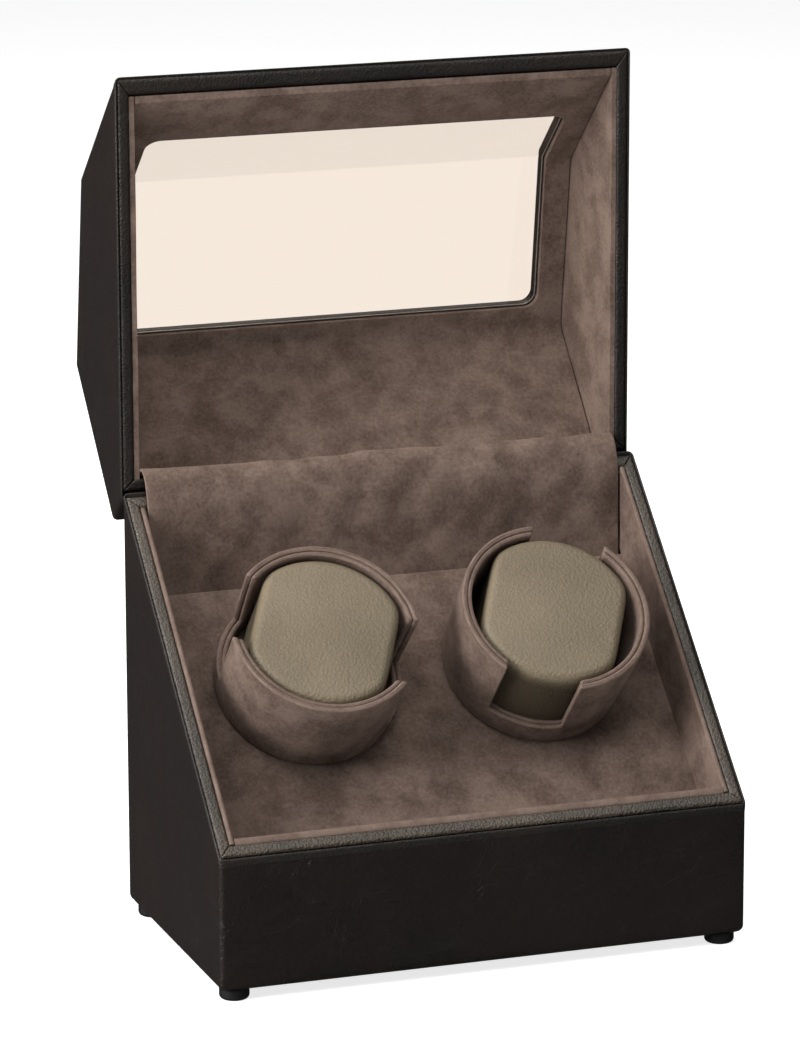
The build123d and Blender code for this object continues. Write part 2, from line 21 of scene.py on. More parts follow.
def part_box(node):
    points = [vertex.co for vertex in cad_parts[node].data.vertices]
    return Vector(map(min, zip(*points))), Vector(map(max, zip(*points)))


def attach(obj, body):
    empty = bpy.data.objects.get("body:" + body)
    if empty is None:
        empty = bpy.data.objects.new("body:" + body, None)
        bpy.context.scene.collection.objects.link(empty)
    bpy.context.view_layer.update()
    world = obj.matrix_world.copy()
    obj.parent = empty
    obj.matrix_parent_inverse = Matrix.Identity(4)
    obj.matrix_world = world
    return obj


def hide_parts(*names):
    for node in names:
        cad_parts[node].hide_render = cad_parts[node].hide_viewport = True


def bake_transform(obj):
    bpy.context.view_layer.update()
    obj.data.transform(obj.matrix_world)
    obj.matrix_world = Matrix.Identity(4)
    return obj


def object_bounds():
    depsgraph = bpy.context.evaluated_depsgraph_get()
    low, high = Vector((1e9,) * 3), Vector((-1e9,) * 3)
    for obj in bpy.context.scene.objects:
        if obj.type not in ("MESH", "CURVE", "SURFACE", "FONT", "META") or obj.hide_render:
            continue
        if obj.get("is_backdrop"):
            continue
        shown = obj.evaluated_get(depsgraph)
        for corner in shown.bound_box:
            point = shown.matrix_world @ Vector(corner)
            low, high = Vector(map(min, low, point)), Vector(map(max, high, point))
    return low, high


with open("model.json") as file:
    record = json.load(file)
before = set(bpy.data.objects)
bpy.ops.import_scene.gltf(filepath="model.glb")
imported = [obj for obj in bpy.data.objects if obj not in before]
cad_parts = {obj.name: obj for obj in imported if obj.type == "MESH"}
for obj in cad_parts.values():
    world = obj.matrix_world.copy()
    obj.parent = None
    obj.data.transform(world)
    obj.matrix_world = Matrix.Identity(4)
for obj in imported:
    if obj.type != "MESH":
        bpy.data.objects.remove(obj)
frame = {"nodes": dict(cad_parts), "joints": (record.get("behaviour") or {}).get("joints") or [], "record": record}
log = logging.getLogger("winder")
Array = np.ndarray
MM = 0.001


# ---------------------------------------------------------------- colours and material nodes


def linear(hex_colour: str) -> tuple[float, float, float, float]:
    """Turns an sRGB hex colour to a linear one.

    Args:
        hex_colour: Six hex digits, such as "1F1816".

    Returns:
        Linear red, green and blue, with full alpha.
    """
    parts = [int(hex_colour[i : i + 2], 16) / 255 for i in (0, 2, 4)]
    lin = [p / 12.92 if p <= 0.04045 else ((p + 0.055) / 1.055) ** 2.4 for p in parts]
    return (lin[0], lin[1], lin[2], 1.0)


def add_node(
    tree: bpy.types.NodeTree, kind: str, inputs: dict[str | int, object] | tuple[object, ...] = (),
    out: str | int = 0, **settings: object
) -> bpy.types.NodeSocket | None:
    """Adds one node with its settings, socket values and links.

    Args:
        tree: The material's node tree.
        kind: The node's type name, without its prefix.
        inputs: Each socket's value, or the output socket that feeds it, by the socket's name or
            number; or a tuple of them for the first sockets.
        out: The output socket that is wanted.
        **settings: Attributes of the node.

    Returns:
        The wanted output socket, or None for a node without any.
    """
    made = tree.nodes.new(f"ShaderNode{kind}")
    for name, value in settings.items():
        setattr(made, name, value)
    for name, value in (inputs if isinstance(inputs, dict) else dict(enumerate(inputs))).items():
        if isinstance(value, bpy.types.NodeSocket):
            tree.links.new(value, made.inputs[name])
        else:
            made.inputs[name].default_value = value
    return made.outputs[out] if made.outputs else None


class Grain(Enum):
    """How a leather's surface is embossed."""

    CREASED = "creased"
    PEBBLED = "pebbled"


def new_material(name: str) -> tuple[bpy.types.Material, bpy.types.NodeTree]:
    """Starts an empty node material; returns it and its tree."""
    material = bpy.data.materials.new(name)
    material.use_nodes = True
    material.node_tree.nodes.clear()
    return material, material.node_tree


@dataclass(frozen=True)
class Finish:
    """A named finish whose patterns are laid out in the piece's own millimetres."""

    name: str

    def build(self) -> bpy.types.Material:
        """Makes the material: one principled shader fed by the finish's own sockets."""
        material, tree = new_material(self.name)
        place = add_node(tree, "TexCoord", (), "Object")
        shader = add_node(tree, "BsdfPrincipled", self.sockets(tree, place))
        add_node(tree, "OutputMaterial", (shader,))
        return material

    def sockets(self, tree: bpy.types.NodeTree, place: bpy.types.NodeSocket) -> dict[str, object]:
        """The shader's sockets.

        Args:
            tree: The material's node tree.
            place: The piece's own coordinates.

        Returns:
            Socket name to value or to the output that feeds it.
        """
        raise NotImplementedError


@dataclass(frozen=True)
class Leather(Finish):
    """Coated split leather: a dyed base under a thin clear polyurethane film, embossed."""

    dark: str
    light: str
    grain: Grain
    pitch: float  # mm from one cell or crease to the next
    depth: float  # mm
    roughness: tuple[float, float]
    coat: float
    coat_roughness: float = 0.25
    ior: float = 1.5
    painted_shade: str = ""  # painted shade: a darker colour for where the piece's own "side" value is 1
    crease_pitch: float = 28.0  # mm, the long soft folds

    def sockets(self, tree: bpy.types.NodeTree, place: bpy.types.NodeSocket) -> dict[str, object]:
        """Cells or creases for bump, and gloss that changes across them."""
        pebbled = self.grain is Grain.PEBBLED
        # The hollows between the cells, and the creases, are painted darker than the tops: painted shade that
        # follows the bump.
        warp = add_node(tree, "TexNoise", {"Vector": place, "Scale": 1 / (6 * MM), "Detail": 3.0}, "Color")
        bend = (self.pitch * MM * 0.9,) * 3
        bent = add_node(tree, "VectorMath", (warp, bend, place), operation="MULTIPLY_ADD")
        cells = {"Vector": bent, "Scale": 1 / (self.pitch * MM)}
        cells = add_node(tree, "TexVoronoi", cells, feature="F1" if pebbled else "DISTANCE_TO_EDGE")
        limits = (0.1, 0.75, 1.0, 0.0) if pebbled else (0.0, 0.12, 0.0, 1.0)
        relief = add_node(tree, "MapRange", (cells, *limits))
        fine = add_node(tree, "TexNoise", {"Vector": place, "Scale": 1 / (0.5 * MM), "Detail": 2.0})
        blotch = add_node(tree, "TexNoise", {"Vector": place, "Scale": 1 / (45 * MM), "Detail": 4.0})
        tint = add_node(tree, "MapRange", (blotch, 0.35, 0.65, 0.0, 0.55))
        # The relief lifts the tone on the tops, so the hollows stay darker as painted shade; the blotches are
        # random tone.
        tint = add_node(tree, "Math", (relief, 0.4, tint), operation="MULTIPLY_ADD")
        colour = {"Factor": tint, "A": linear(self.dark), "B": linear(self.light)}
        colour = add_node(tree, "Mix", colour, "Result", data_type="RGBA")
        # Painted shade: the colour darkens towards the shade colour where the piece's "side" value rises to 1.
        if self.painted_shade:
            side = add_node(tree, "Attribute", (), "Fac", attribute_name="side")
            colour = {"Factor": side, "A": colour, "B": linear(self.painted_shade)}
            colour = add_node(tree, "Mix", colour, "Result", data_type="RGBA")
        bump = add_node(tree, "Bump", {"Height": relief, "Distance": self.depth * MM, "Strength": 1.0})
        bump = {"Height": fine, "Distance": 0.03 * MM, "Strength": 0.5, "Normal": bump}
        bump = add_node(tree, "Bump", bump)
        if not pebbled:
            folds = {"Vector": place, "Scale": 1 / (self.crease_pitch * MM), "Detail": 5.0}
            folds = add_node(tree, "TexNoise", folds | {"Roughness": 0.62, "Distortion": 1.2})
            ridge = add_node(tree, "Math", (folds, 0.5), operation="SUBTRACT")
            ridge = add_node(tree, "Math", (ridge,), operation="ABSOLUTE")
            thread = add_node(tree, "MapRange", (ridge, 0.0, 0.018, 1.0, 0.0))
            bump = {"Height": thread, "Distance": 0.18 * MM, "Strength": 0.65, "Normal": bump}
            bump = add_node(tree, "Bump", bump)
        return {
            "Base Color": colour,
            "Roughness": add_node(tree, "MapRange", (blotch, 0.3, 0.7, *self.roughness[::-1])),
            "IOR": self.ior, "Coat Weight": self.coat, "Coat Roughness": self.coat_roughness, "Normal": bump
        }


@dataclass(frozen=True)
class Suede(Finish):
    """Brushed split leather: a dense nap, so it is matt, pale at grazing angles and mottled."""

    dark: str
    light: str
    pale: str
    sheen: float = 0.35
    patch: float = 22.0  # mm, one stroke of the nap

    def sockets(self, tree: bpy.types.NodeTree, place: bpy.types.NodeSocket) -> dict[str, object]:
        """Nap strokes that mottle the colour, a fibre bump and a sheen."""
        strokes = {"Vector": place, "Scale": 1 / (self.patch * MM), "Detail": 6.0}
        strokes = add_node(tree, "TexNoise", strokes | {"Roughness": 0.6, "Distortion": 0.25})
        # Real fibres are finer than a tenth of a millimetre; these are drawn coarser to show.
        fibre = add_node(tree, "TexNoise", {"Vector": place, "Scale": 1 / (0.55 * MM), "Detail": 3.0})
        flecks = add_node(tree, "TexNoise", {"Vector": place, "Scale": 1 / (1.6 * MM), "Detail": 4.0})
        flecks = add_node(tree, "MapRange", (flecks, 0.3, 0.7, 0.0, 1.0))
        nap = add_node(tree, "MapRange", (strokes, 0.38, 0.62, 0.0, 1.0))
        nap = {"Factor": 0.42, "A": nap, "B": flecks}
        nap = add_node(tree, "Mix", nap, "Result", data_type="FLOAT")
        colour = {"Factor": nap, "A": linear(self.dark), "B": linear(self.light)}
        colour = add_node(tree, "Mix", colour, "Result", data_type="RGBA")
        dust = add_node(tree, "MapRange", (fibre, 0.58, 0.8, 0.0, 0.35))
        colour = {"Factor": dust, "A": colour, "B": linear(self.pale)}
        colour = add_node(tree, "Mix", colour, "Result", data_type="RGBA")
        bump = add_node(tree, "Bump", {"Height": fibre, "Distance": 0.12 * MM, "Strength": 0.6})
        bump = {"Height": strokes, "Distance": 0.9 * MM, "Strength": 0.35, "Normal": bump}
        return {
            "Base Color": colour, "Roughness": 0.95, "IOR": 1.4, "Specular IOR Level": 0.15,
            "Sheen Weight": self.sheen, "Sheen Roughness": 0.45, "Sheen Tint": linear(self.pale),
            "Normal": add_node(tree, "Bump", bump)
        }


@dataclass(frozen=True)
class Moulded(Finish):
    """A plain plastic, rubber, board or paint with a faint grain and uneven gloss."""

    dark: str
    light: str
    roughness: tuple[float, float]
    grain: float = 0.6  # mm
    relief: float = 0.02  # mm
    ior: float = 1.5

    def sockets(self, tree: bpy.types.NodeTree, place: bpy.types.NodeSocket) -> dict[str, object]:
        """A fine moulded grain over slightly uneven colour."""
        grain = {"Vector": place, "Scale": 1 / (self.grain * MM), "Detail": 3.0}
        grain = add_node(tree, "TexNoise", grain)
        broad = add_node(tree, "TexNoise", {"Vector": place, "Scale": 1 / (9 * MM), "Detail": 2.0})
        colour = {"Factor": broad, "A": linear(self.dark), "B": linear(self.light)}
        bump = {"Height": grain, "Distance": self.relief * MM, "Strength": 0.7}
        return {
            "Base Color": add_node(tree, "Mix", colour, "Result", data_type="RGBA"),
            "Roughness": add_node(tree, "MapRange", (grain, 0.3, 0.7, *self.roughness)), "IOR": self.ior,
            "Normal": add_node(tree, "Bump", bump)
        }


@dataclass(frozen=True)
class Metal(Finish):
    """A drawn or turned metal: brushed one way, with a little tarnish."""

    clean: str
    tarnished: str
    roughness: tuple[float, float]
    stroke: float = 0.25  # mm across the brush lines

    def sockets(self, tree: bpy.types.NodeTree, place: bpy.types.NodeSocket) -> dict[str, object]:
        """Brush lines stretched along X and soft tarnish."""
        along = add_node(tree, "Mapping", {"Vector": place, "Scale": (0.04, 1.0, 1.0)})
        lines = {"Vector": along, "Scale": 1 / (self.stroke * MM), "Detail": 2.0}
        lines = add_node(tree, "TexNoise", lines)
        tarnish = add_node(tree, "TexNoise", {"Vector": place, "Scale": 1 / (4 * MM), "Detail": 4.0})
        tarnish = add_node(tree, "MapRange", (tarnish, 0.45, 0.75, 0.0, 0.8))
        colour = {"Factor": tarnish, "A": linear(self.clean), "B": linear(self.tarnished)}
        bump = {"Height": lines, "Distance": 0.01 * MM, "Strength": 0.5}
        return {
            "Base Color": add_node(tree, "Mix", colour, "Result", data_type="RGBA"), "Metallic": 1.0,
            "Roughness": add_node(tree, "MapRange", (lines, 0.3, 0.7, *self.roughness)),
            "Normal": add_node(tree, "Bump", bump)
        }


@dataclass(frozen=True)
class Acrylic(Finish):
    """Cast acrylic sheet, polished: clear, a little warm, with the faintest haze of handling."""

    tint: str
    roughness: tuple[float, float] = (0.0, 0.04)

    def sockets(self, tree: bpy.types.NodeTree, place: bpy.types.NodeSocket) -> dict[str, object]:
        """Clear, with faint cloudy smears in its gloss."""
        smears = add_node(tree, "TexNoise", {"Vector": place, "Scale": 1 / (35 * MM), "Detail": 3.0})
        return {
            "Base Color": linear(self.tint),
            "Roughness": add_node(tree, "MapRange", (smears, 0.45, 0.8, *self.roughness)), "IOR": 1.49,
            "Transmission Weight": 1.0
        }


FINISHES: dict[str, Finish] = {
    # Smooth hide-print leathercloth: near black, satin, with fine crossing creases.
    "exterior_leather": Leather(
        "creased_black_brown_leathercloth", "130D0B", "231B18", Grain.CREASED, 2.6, 0.08, (0.36, 0.52), 0.2
    ),
    # The same hide padded and pulled tight, pebbled, so it catches the light in dots; its colour is painted
    # lighter and warmer than the exterior's, a painted reflection of the light above.
    "rim_leather": Leather(
        "pebbled_rim_leathercloth_painted_reflection", "2E2820", "53493D", Grain.PEBBLED, 1.2, 0.3, (0.36, 0.5), 0.15
    ),
    # Pulled flatter over thinner foam, and round the rolled edges: nearly black, with less gloss.
    "lid_rim_leather": Leather(
        "stretched_rim_leathercloth", "15110F", "2A2420", Grain.PEBBLED, 1.1, 0.16, (0.48, 0.62), 0.0
    ),
    # Split leather brushed to a nap: matt taupe that clouds where it has been stroked.
    "suede": Suede("brushed_taupe_suede", "52433B", "7E6C62", "9A897D", 0.25, 16.0),
    # Khaki upholstery leathercloth, pebbled and matt, with painted shade darkening it down its sides.
    "cushion_leather": Leather(
        "pebbled_khaki_leathercloth", "6A5E4B", "7F725C", Grain.PEBBLED, 1.3, 0.16, (0.5, 0.62), 0.0,
        painted_shade="433A2C",
    ),
    # Paler suede for rounded edges and up-facing lining tops: a painted highlight where they catch the light.
    "suede_painted_highlight": Suede("taupe_suede_painted_highlight", "66554C", "7F6D63", "96857A", 0.2, 9.0),
    # Cast and polished sheet: clear and faintly warm, with clean reflections.
    "clear_acrylic": Acrylic("cast_acrylic_sheet", "FAEDE0"),
    # Drawn brass with a satin finish: warm yellow, with highlights streaked along the brushing.
    "hinge_brass": Metal("satin_drawn_brass", "C9A863", "8F7440", (0.25, 0.4)),
    # Bright zinc plating: cool grey with small sharp glints.
    "fastener_steel": Metal("zinc_plated_steel", "B9BBBE", "8C8E91", (0.28, 0.42)),
    # Deep-drawn steel under nickel: smooth neutral grey with soft highlights.
    "motor_can": Metal("drawn_nickelled_can", "A9AAAC", "808184", (0.22, 0.36)),
    # Natural nylon from the mould: milky off-white and waxy.
    "gear_nylon": Moulded("natural_nylon", "D8D6CA", "E6E4DA", (0.38, 0.5)),
    # Pressed and sintered bronze: dull brown, darker in its pores.
    "bush_bronze": Metal("sintered_bronze", "A47B4A", "6E5030", (0.4, 0.55)),
    # Moulded rubber: dead black with a broad weak sheen.
    "foot_rubber": Moulded("moulded_black_rubber", "0E0D0D", "191817", (0.5, 0.68), 0.5, 0.03),
    # Plastic from a spark-eroded mould: black with an even fine sparkle.
    "black_plastic": Moulded("spark_textured_black_abs", "0D0D0E", "161617", (0.38, 0.55), 0.4, 0.03),
    # Solder mask over glass fibre: deep green and glossy.
    "board_green": Moulded("solder_masked_glass_fibre", "0B3A22", "115232", (0.25, 0.4)),
    # Sanded fibreboard: pale brown and matt, with short fibres.
    "bare_board": Moulded("medium_density_fibreboard", "8C6B45", "A98659", (0.75, 0.9), 1.2, 0.05),
}


# ---------------------------------------------------------------- meshes from arrays


def make_object(name: str, points: Array, faces: list[Array], smooth_under: float = 38.0) -> bpy.types.Object:
    """Puts points and face indices into a mesh object whose faces point outwards.

    Args:
        name: The piece's name.
        points: (n, 3) places in metres.
        faces: Arrays of face indices, each (m, 3) or (m, 4), that close the mesh.
        smooth_under: Edges that turn by less than this many degrees shade smooth.

    Returns:
        The object, at the origin.
    """
    mesh = bpy.data.meshes.new(name)
    mesh.from_pydata(points.tolist(), [], [f for group in faces for f in group.tolist()])
    mesh.validate()
    mesh.shade_smooth()
    mesh.set_sharp_from_angle(angle=math.radians(smooth_under))
    # A closed mesh with its faces outwards has a volume above nothing.
    mesh.calc_loop_triangles()
    places = np.zeros(len(mesh.vertices) * 3)
    mesh.vertices.foreach_get("co", places)
    corners = np.zeros(len(mesh.loop_triangles) * 3, int)
    mesh.loop_triangles.foreach_get("vertices", corners)
    a, b, c = (places.reshape(-1, 3)[corners.reshape(-1, 3)[:, k]] for k in range(3))
    if np.einsum("ij,ij->i", a, np.cross(b, c)).sum() < 0:
        mesh.flip_normals()
    made = bpy.data.objects.new(name, mesh)
    bpy.context.scene.collection.objects.link(made)
    return made


def quads(index: Array, keep: Array | None = None) -> Array:
    """The four-cornered faces of a grid of vertex numbers, or only those where keep is true."""
    faces = np.stack([index[:-1, :-1], index[1:, :-1], index[1:, 1:], index[:-1, 1:]], -1)
    return faces.reshape(-1, 4) if keep is None else faces[keep]


def sewn(
    outer: Array, inner: Array, keep: Array | None = None, ring: bool = False
) -> tuple[Array, list[Array]]:
    """Sews an outer and an inner grid into one closed wall.

    The faces of both grids are kept where keep is true, and every edge that has a kept face on
    only one side gets a strip between the two grids.

    Args:
        outer: (u, v, 3) points of the outer face.
        inner: (u, v, 3) points of the inner face, matching the outer ones.
        keep: True where there is wall, for each face.
        ring: Whether the last column joins the first.

    Returns:
        Points and face arrays.
    """
    nu, nv = outer.shape[:2]
    index = np.arange(nu * nv).reshape(nu, nv)
    off = nu * nv
    if ring:
        index = np.concatenate([index, index[:, :1]], 1)
    keep = np.ones((nu - 1, index.shape[1] - 1), bool) if keep is None else keep
    faces = [quads(index, keep), quads(index, keep)[:, ::-1] + off]
    rows = np.pad(keep, ((1, 1), (0, 0)))
    columns = np.pad(keep, ((0, 0), (1, 1)), mode="wrap" if ring else "constant")
    # A row's edges lie between the faces before and after it; a column's between its two sides.
    for first, second, a, b in (
        (rows[:-1], rows[1:], index[:, :-1], index[:, 1:]),
        (columns[:, 1:][:, :nv], columns[:, :-1][:, :nv], index[:-1, :nv], index[1:, :nv])
    ):
        for mask, flip in ((first & ~second, True), (second & ~first, False)):
            p, q = a[mask], b[mask]
            strip = np.stack([p, q, q + off, p + off], -1)
            faces.append(strip[:, ::-1] if flip else strip)
    return np.concatenate([outer.reshape(-1, 3), inner.reshape(-1, 3)]), faces


def sealed(grid: Array) -> tuple[Array, list[Array]]:
    """Points and faces of closed (rings, round, 3) rings, with a fan over the first and last ring."""
    rings, around = grid.shape[:2]
    index = np.arange(rings * around).reshape(rings, around)
    wrapped = np.concatenate([index, index[:, :1]], 1)
    centres = np.stack([grid[0].mean(0), grid[-1].mean(0)])
    first, last, hub = wrapped[0], wrapped[-1], np.full(around, rings * around)
    fans = [np.stack([first[:-1], first[1:], hub], -1), np.stack([last[1:], last[:-1], hub + 1], -1)]
    return np.concatenate([grid.reshape(-1, 3), centres]), [quads(wrapped)[:, ::-1], *fans]


def bevelled(
    piece: bpy.types.Object, width: float, segments: int = 3, angle: float = 40.0, highlight_edges: bool = False
) -> bpy.types.Object:
    """Rounds the piece's sharp edges and applies it.

    Args:
        piece: The object.
        width: Millimetres.
        segments: Steps round each edge.
        angle: Edges sharper than this many degrees are rounded.
        highlight_edges: Whether the rounded edges take the second finish, paler suede as a painted highlight.

    Returns:
        The object, with its final mesh.
    """
    bevel = piece.modifiers.new("rounded edges", "BEVEL")
    # The rounded edges take the paler suede: a painted highlight on edges that catch the light.
    if highlight_edges:
        piece.data.materials.append(material_for("suede"))
        piece.data.materials.append(material_for("suede_painted_highlight"))
        bevel.material = 1
    bevel.width, bevel.segments = width * MM, segments
    bevel.limit_method, bevel.angle_limit = "ANGLE", math.radians(angle)
    bevel.harden_normals = False
    return applied(piece)


def applied(piece: bpy.types.Object) -> bpy.types.Object:
    """Replaces the piece's mesh with what its modifiers make."""
    graph = bpy.context.evaluated_depsgraph_get()
    mesh = bpy.data.meshes.new_from_object(piece.evaluated_get(graph))
    mesh.name = piece.name
    piece.modifiers.clear()
    piece.data = mesh
    return piece


def cut(piece: bpy.types.Object, cutters: list[bpy.types.Object]) -> bpy.types.Object:
    """Cuts each of the cutters out of the piece, then removes the cutters."""
    for cutter in cutters:
        boolean = piece.modifiers.new("room", "BOOLEAN")
        boolean.object, boolean.operation, boolean.solver = cutter, "DIFFERENCE", "EXACT"
    bpy.context.view_layer.update()
    applied(piece)
    for cutter in cutters:
        bpy.data.objects.remove(cutter)
    piece.data.set_sharp_from_angle(angle=math.radians(38))
    return piece


BOX_CORNERS = np.array([[x, y, z] for x in (0, 1) for y in (0, 1) for z in (0, 1)])
BOX_FACES = np.array([[0, 1, 3, 2], [4, 6, 7, 5], [0, 4, 5, 1], [2, 3, 7, 6], [0, 2, 6, 4], [1, 5, 7, 3]])


def smooth_step(value: Array, low: float, high: float) -> Array:
    """0 before low, 1 after high and a smooth cubic between."""
    t = np.clip((value - low) / (high - low), 0, 1)
    return t * t * (3 - 2 * t)


def waves(x: Array, y: Array, seed: int, lengths: tuple[float, ...]) -> Array:
    """A sum of plane waves in seeded directions, one for each wavelength in mm, from -1 to 1."""
    rng = np.random.default_rng(seed)
    total = np.zeros_like(x, dtype=float)
    for length in lengths:
        angle, phase = rng.uniform(0, 2 * math.pi, 2)
        total += np.sin(2 * math.pi * (x * math.cos(angle) + y * math.sin(angle)) / length + phase)
    return total / len(lengths)


def rounded_outline(corners: Array, radii: Array, steps: int, breaks: list[list[float]]) -> Array:
    """An open path of straight runs joined by arcs, as points.

    Each arc's centre is a radius inside both runs, and its steps share its angle evenly. breaks
    holds extra points on each run, as distances along it from its own first corner.

    Args:
        corners: (n, 2) corners, the two ends among them.
        radii: (n - 2,) radius at each inner corner.
        steps: Points on each arc.
        breaks: For each run, distances along it.

    Returns:
        (m, 2) points.
    """
    runs = np.diff(corners, axis=0)
    lengths = np.linalg.norm(runs, axis=1)
    ways = runs / lengths[:, None]
    out = [corners[0][None]]
    for i in range(len(runs)):
        if breaks[i]:
            out.append(corners[i] + np.array(breaks[i])[:, None] * ways[i])
        if i + 1 < len(runs):
            a, b = ways[i], ways[i + 1]
            turn = math.atan2(a[0] * b[1] - a[1] * b[0], float(a @ b))
            back = radii[i] * math.tan(abs(turn) / 2)
            side = np.array([-a[1], a[0]]) * math.copysign(1, turn)
            centre = corners[i + 1] - a * back + side * radii[i]
            angles = np.linspace(0, turn, steps)
            spoke = -side * radii[i]
            spun = np.stack(
                [
                    spoke[0] * np.cos(angles) - spoke[1] * np.sin(angles),
                    spoke[0] * np.sin(angles) + spoke[1] * np.cos(angles)
                ],
                -1
            )
            out.append(centre + spun)
    out.append(corners[-1][None])
    return np.concatenate(out)


# ---------------------------------------------------------------- where things are


@dataclass
class Layout:
    """Places read from the frame, and the two turned frames that pieces are worked out in.

    Working coordinates are millimetres: X across, Y back from the case's front face and Z up
    from the case's underside.
    """

    shift: Array = field(init=False)
    half: float = field(init=False)
    depth: float = field(init=False)
    back_height: float = field(init=False)
    slope: float = field(init=False)
    pivot: Array = field(init=False)
    opening: float = field(init=False)
    cups: dict[str, Array] = field(init=False)

    def __post_init__(self) -> None:
        """Reads the case's box, the lid's hinge and the cups' axes."""
        left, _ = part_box("case_side_left")
        _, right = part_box("case_side_right")
        self.shift = np.array([0.0, left.y, left.z])
        self.half = right.x / MM
        self.depth = (right.y - left.y) / MM
        joints = {joint["name"]: joint for joint in frame["joints"]}
        normal = joints["cup_spin_left"]["axis"]
        self.slope = math.atan2(-normal[1], normal[2])
        _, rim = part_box("case_rim_pad")
        self.back_height = (rim.z - left.z) / MM
        hinge = joints["lid_hinge"]
        self.pivot = (np.array(hinge["pos_m"]) - self.shift) / MM
        self.opening = math.radians(hinge["range_deg"][0])
        self.cups = {
            side: (
                np.array(joints[f"cup_spin_{side}"]["pos_m"]) - self.shift
            ) / MM for side in ("left", "right")
        }

    def metres(self, points: Array) -> Array:
        """Working millimetres to the frame's metres."""
        return points * MM + self.shift

    def rim_height(self, y: Array | float, lift: float = 0.0) -> Array | float:
        """Height of the rim's plane at a depth, moved square to itself by lift."""
        front = self.back_height - self.depth * math.tan(self.slope)
        return front + y * math.tan(self.slope) + lift / math.cos(self.slope)

    def on_rim(self, across: Array, up: Array, lift: Array) -> Array:
        """Points from distances across, up the slope from the front edge, and square to the rim."""
        c, s = math.cos(self.slope), math.sin(self.slope)
        across, up, lift = np.broadcast_arrays(across, up, lift)
        return np.stack([across, up * c - lift * s, self.rim_height(0.0) + up * s + lift * c], -1)

    def opened(self, points: Array) -> Array:
        """Swings points of the closed lid about the hinge to where it stands open."""
        c, s = math.cos(self.opening), math.sin(self.opening)
        away = points - self.pivot
        turned = away.copy()
        turned[..., 1] = away[..., 1] * c - away[..., 2] * s
        turned[..., 2] = away[..., 1] * s + away[..., 2] * c
        return turned + self.pivot


# ---------------------------------------------------------------- padded rims


@dataclass
class RimRun:
    """One mitred run of a padded rim: a crowned strip of leather pulled over foam.

    The strip is a grid of distance along by distance across. Its height is a flattened dome
    across, 1 - |2w - 1|^p, that dips at both mitres where the two covers are drawn together,
    with a few pinched creases across it.
    """

    name: str
    start: tuple[float, float]  # outer corner, across and up the slope
    end: tuple[float, float]
    inward: tuple[float, float]  # unit vector towards the opening
    width: float
    mitres: tuple[float, float] = (1.0, 1.0)  # how far each end leans with the width
    crown: float = 1.1
    root: float = 2.4
    seed: int = 1
    wrinkle: float = 0.1

    def grid(self) -> tuple[Array, Array, Array, Array]:
        """Works out the strip's across, up, top and underside arrays."""
        start, end = np.array(self.start), np.array(self.end)
        length = float(np.linalg.norm(end - start))
        way = (end - start) / length
        w = 0.5 - 0.5 * np.cos(np.linspace(0, math.pi, 19))
        near = self.mitres[0] * w * self.width
        far = length - self.mitres[1] * w * self.width
        t = np.linspace(0, 1, int(length / 1.1) + 8)
        edge = np.concatenate([[0, 0.15, 0.4, 0.8, 1.3, 2.0], [2.8]]) / length
        t = np.unique(np.concatenate([t[(t > edge[-1]) & (t < 1 - edge[-1])], edge, 1 - edge]))
        along = near[None] + t[:, None] * (far - near)[None]
        across = w[None] * self.width
        place = start + along[..., None] * way + across[..., None] * np.array(self.inward)
        dome = 1 - np.abs(2 * w - 1) ** 5
        ends = np.minimum(along - near, (far - along)) + 0.0
        dip = np.sqrt(np.clip(1 - (1 - np.clip(ends / 0.9, 0, 1)) ** 2, 0, 1))
        rng = np.random.default_rng(self.seed)
        creases = np.zeros_like(along)
        for _ in range(int(length / 9)):
            middle, lean, size = rng.uniform(0, length), rng.uniform(-0.7, 0.7), rng.uniform(0.3, 1)
            away = along - middle - lean * (across - self.width / 2)
            creases -= size * np.exp(-((away / rng.uniform(0.5, 1.1)) ** 2))
        soft = waves(along, across, self.seed + 7, (17.0, 31.0, 53.0))
        top = self.crown * dome[None] * (0.3 + 0.7 * dip) + dome[None] * (self.wrinkle * creases + 0.1 * soft)
        top = np.where(dip[:, :] < 1e-9, 0.3 * self.crown * dome[None], top)
        return place[..., 0], place[..., 1], top - self.crown, np.full_like(top, -self.root)

    def build(self, layout: Layout, plane: float, facing: int) -> bpy.types.Object:
        """Makes the run.

        Args:
            layout: Where things are.
            plane: The rim's outer plane, as lift.
            facing: 1 where the rim faces up, -1 where it faces down, on the lid that is swung open.

        Returns:
            The padded piece.
        """
        across, up, top, under = self.grid()
        faces = [layout.on_rim(across, up, plane + facing * level) for level in (top, under)]
        if facing < 0:
            faces = [layout.opened(face) for face in faces]
        piece = make_object(self.name, *sewn(layout.metres(faces[0]), layout.metres(faces[1])), 50)
        return piece


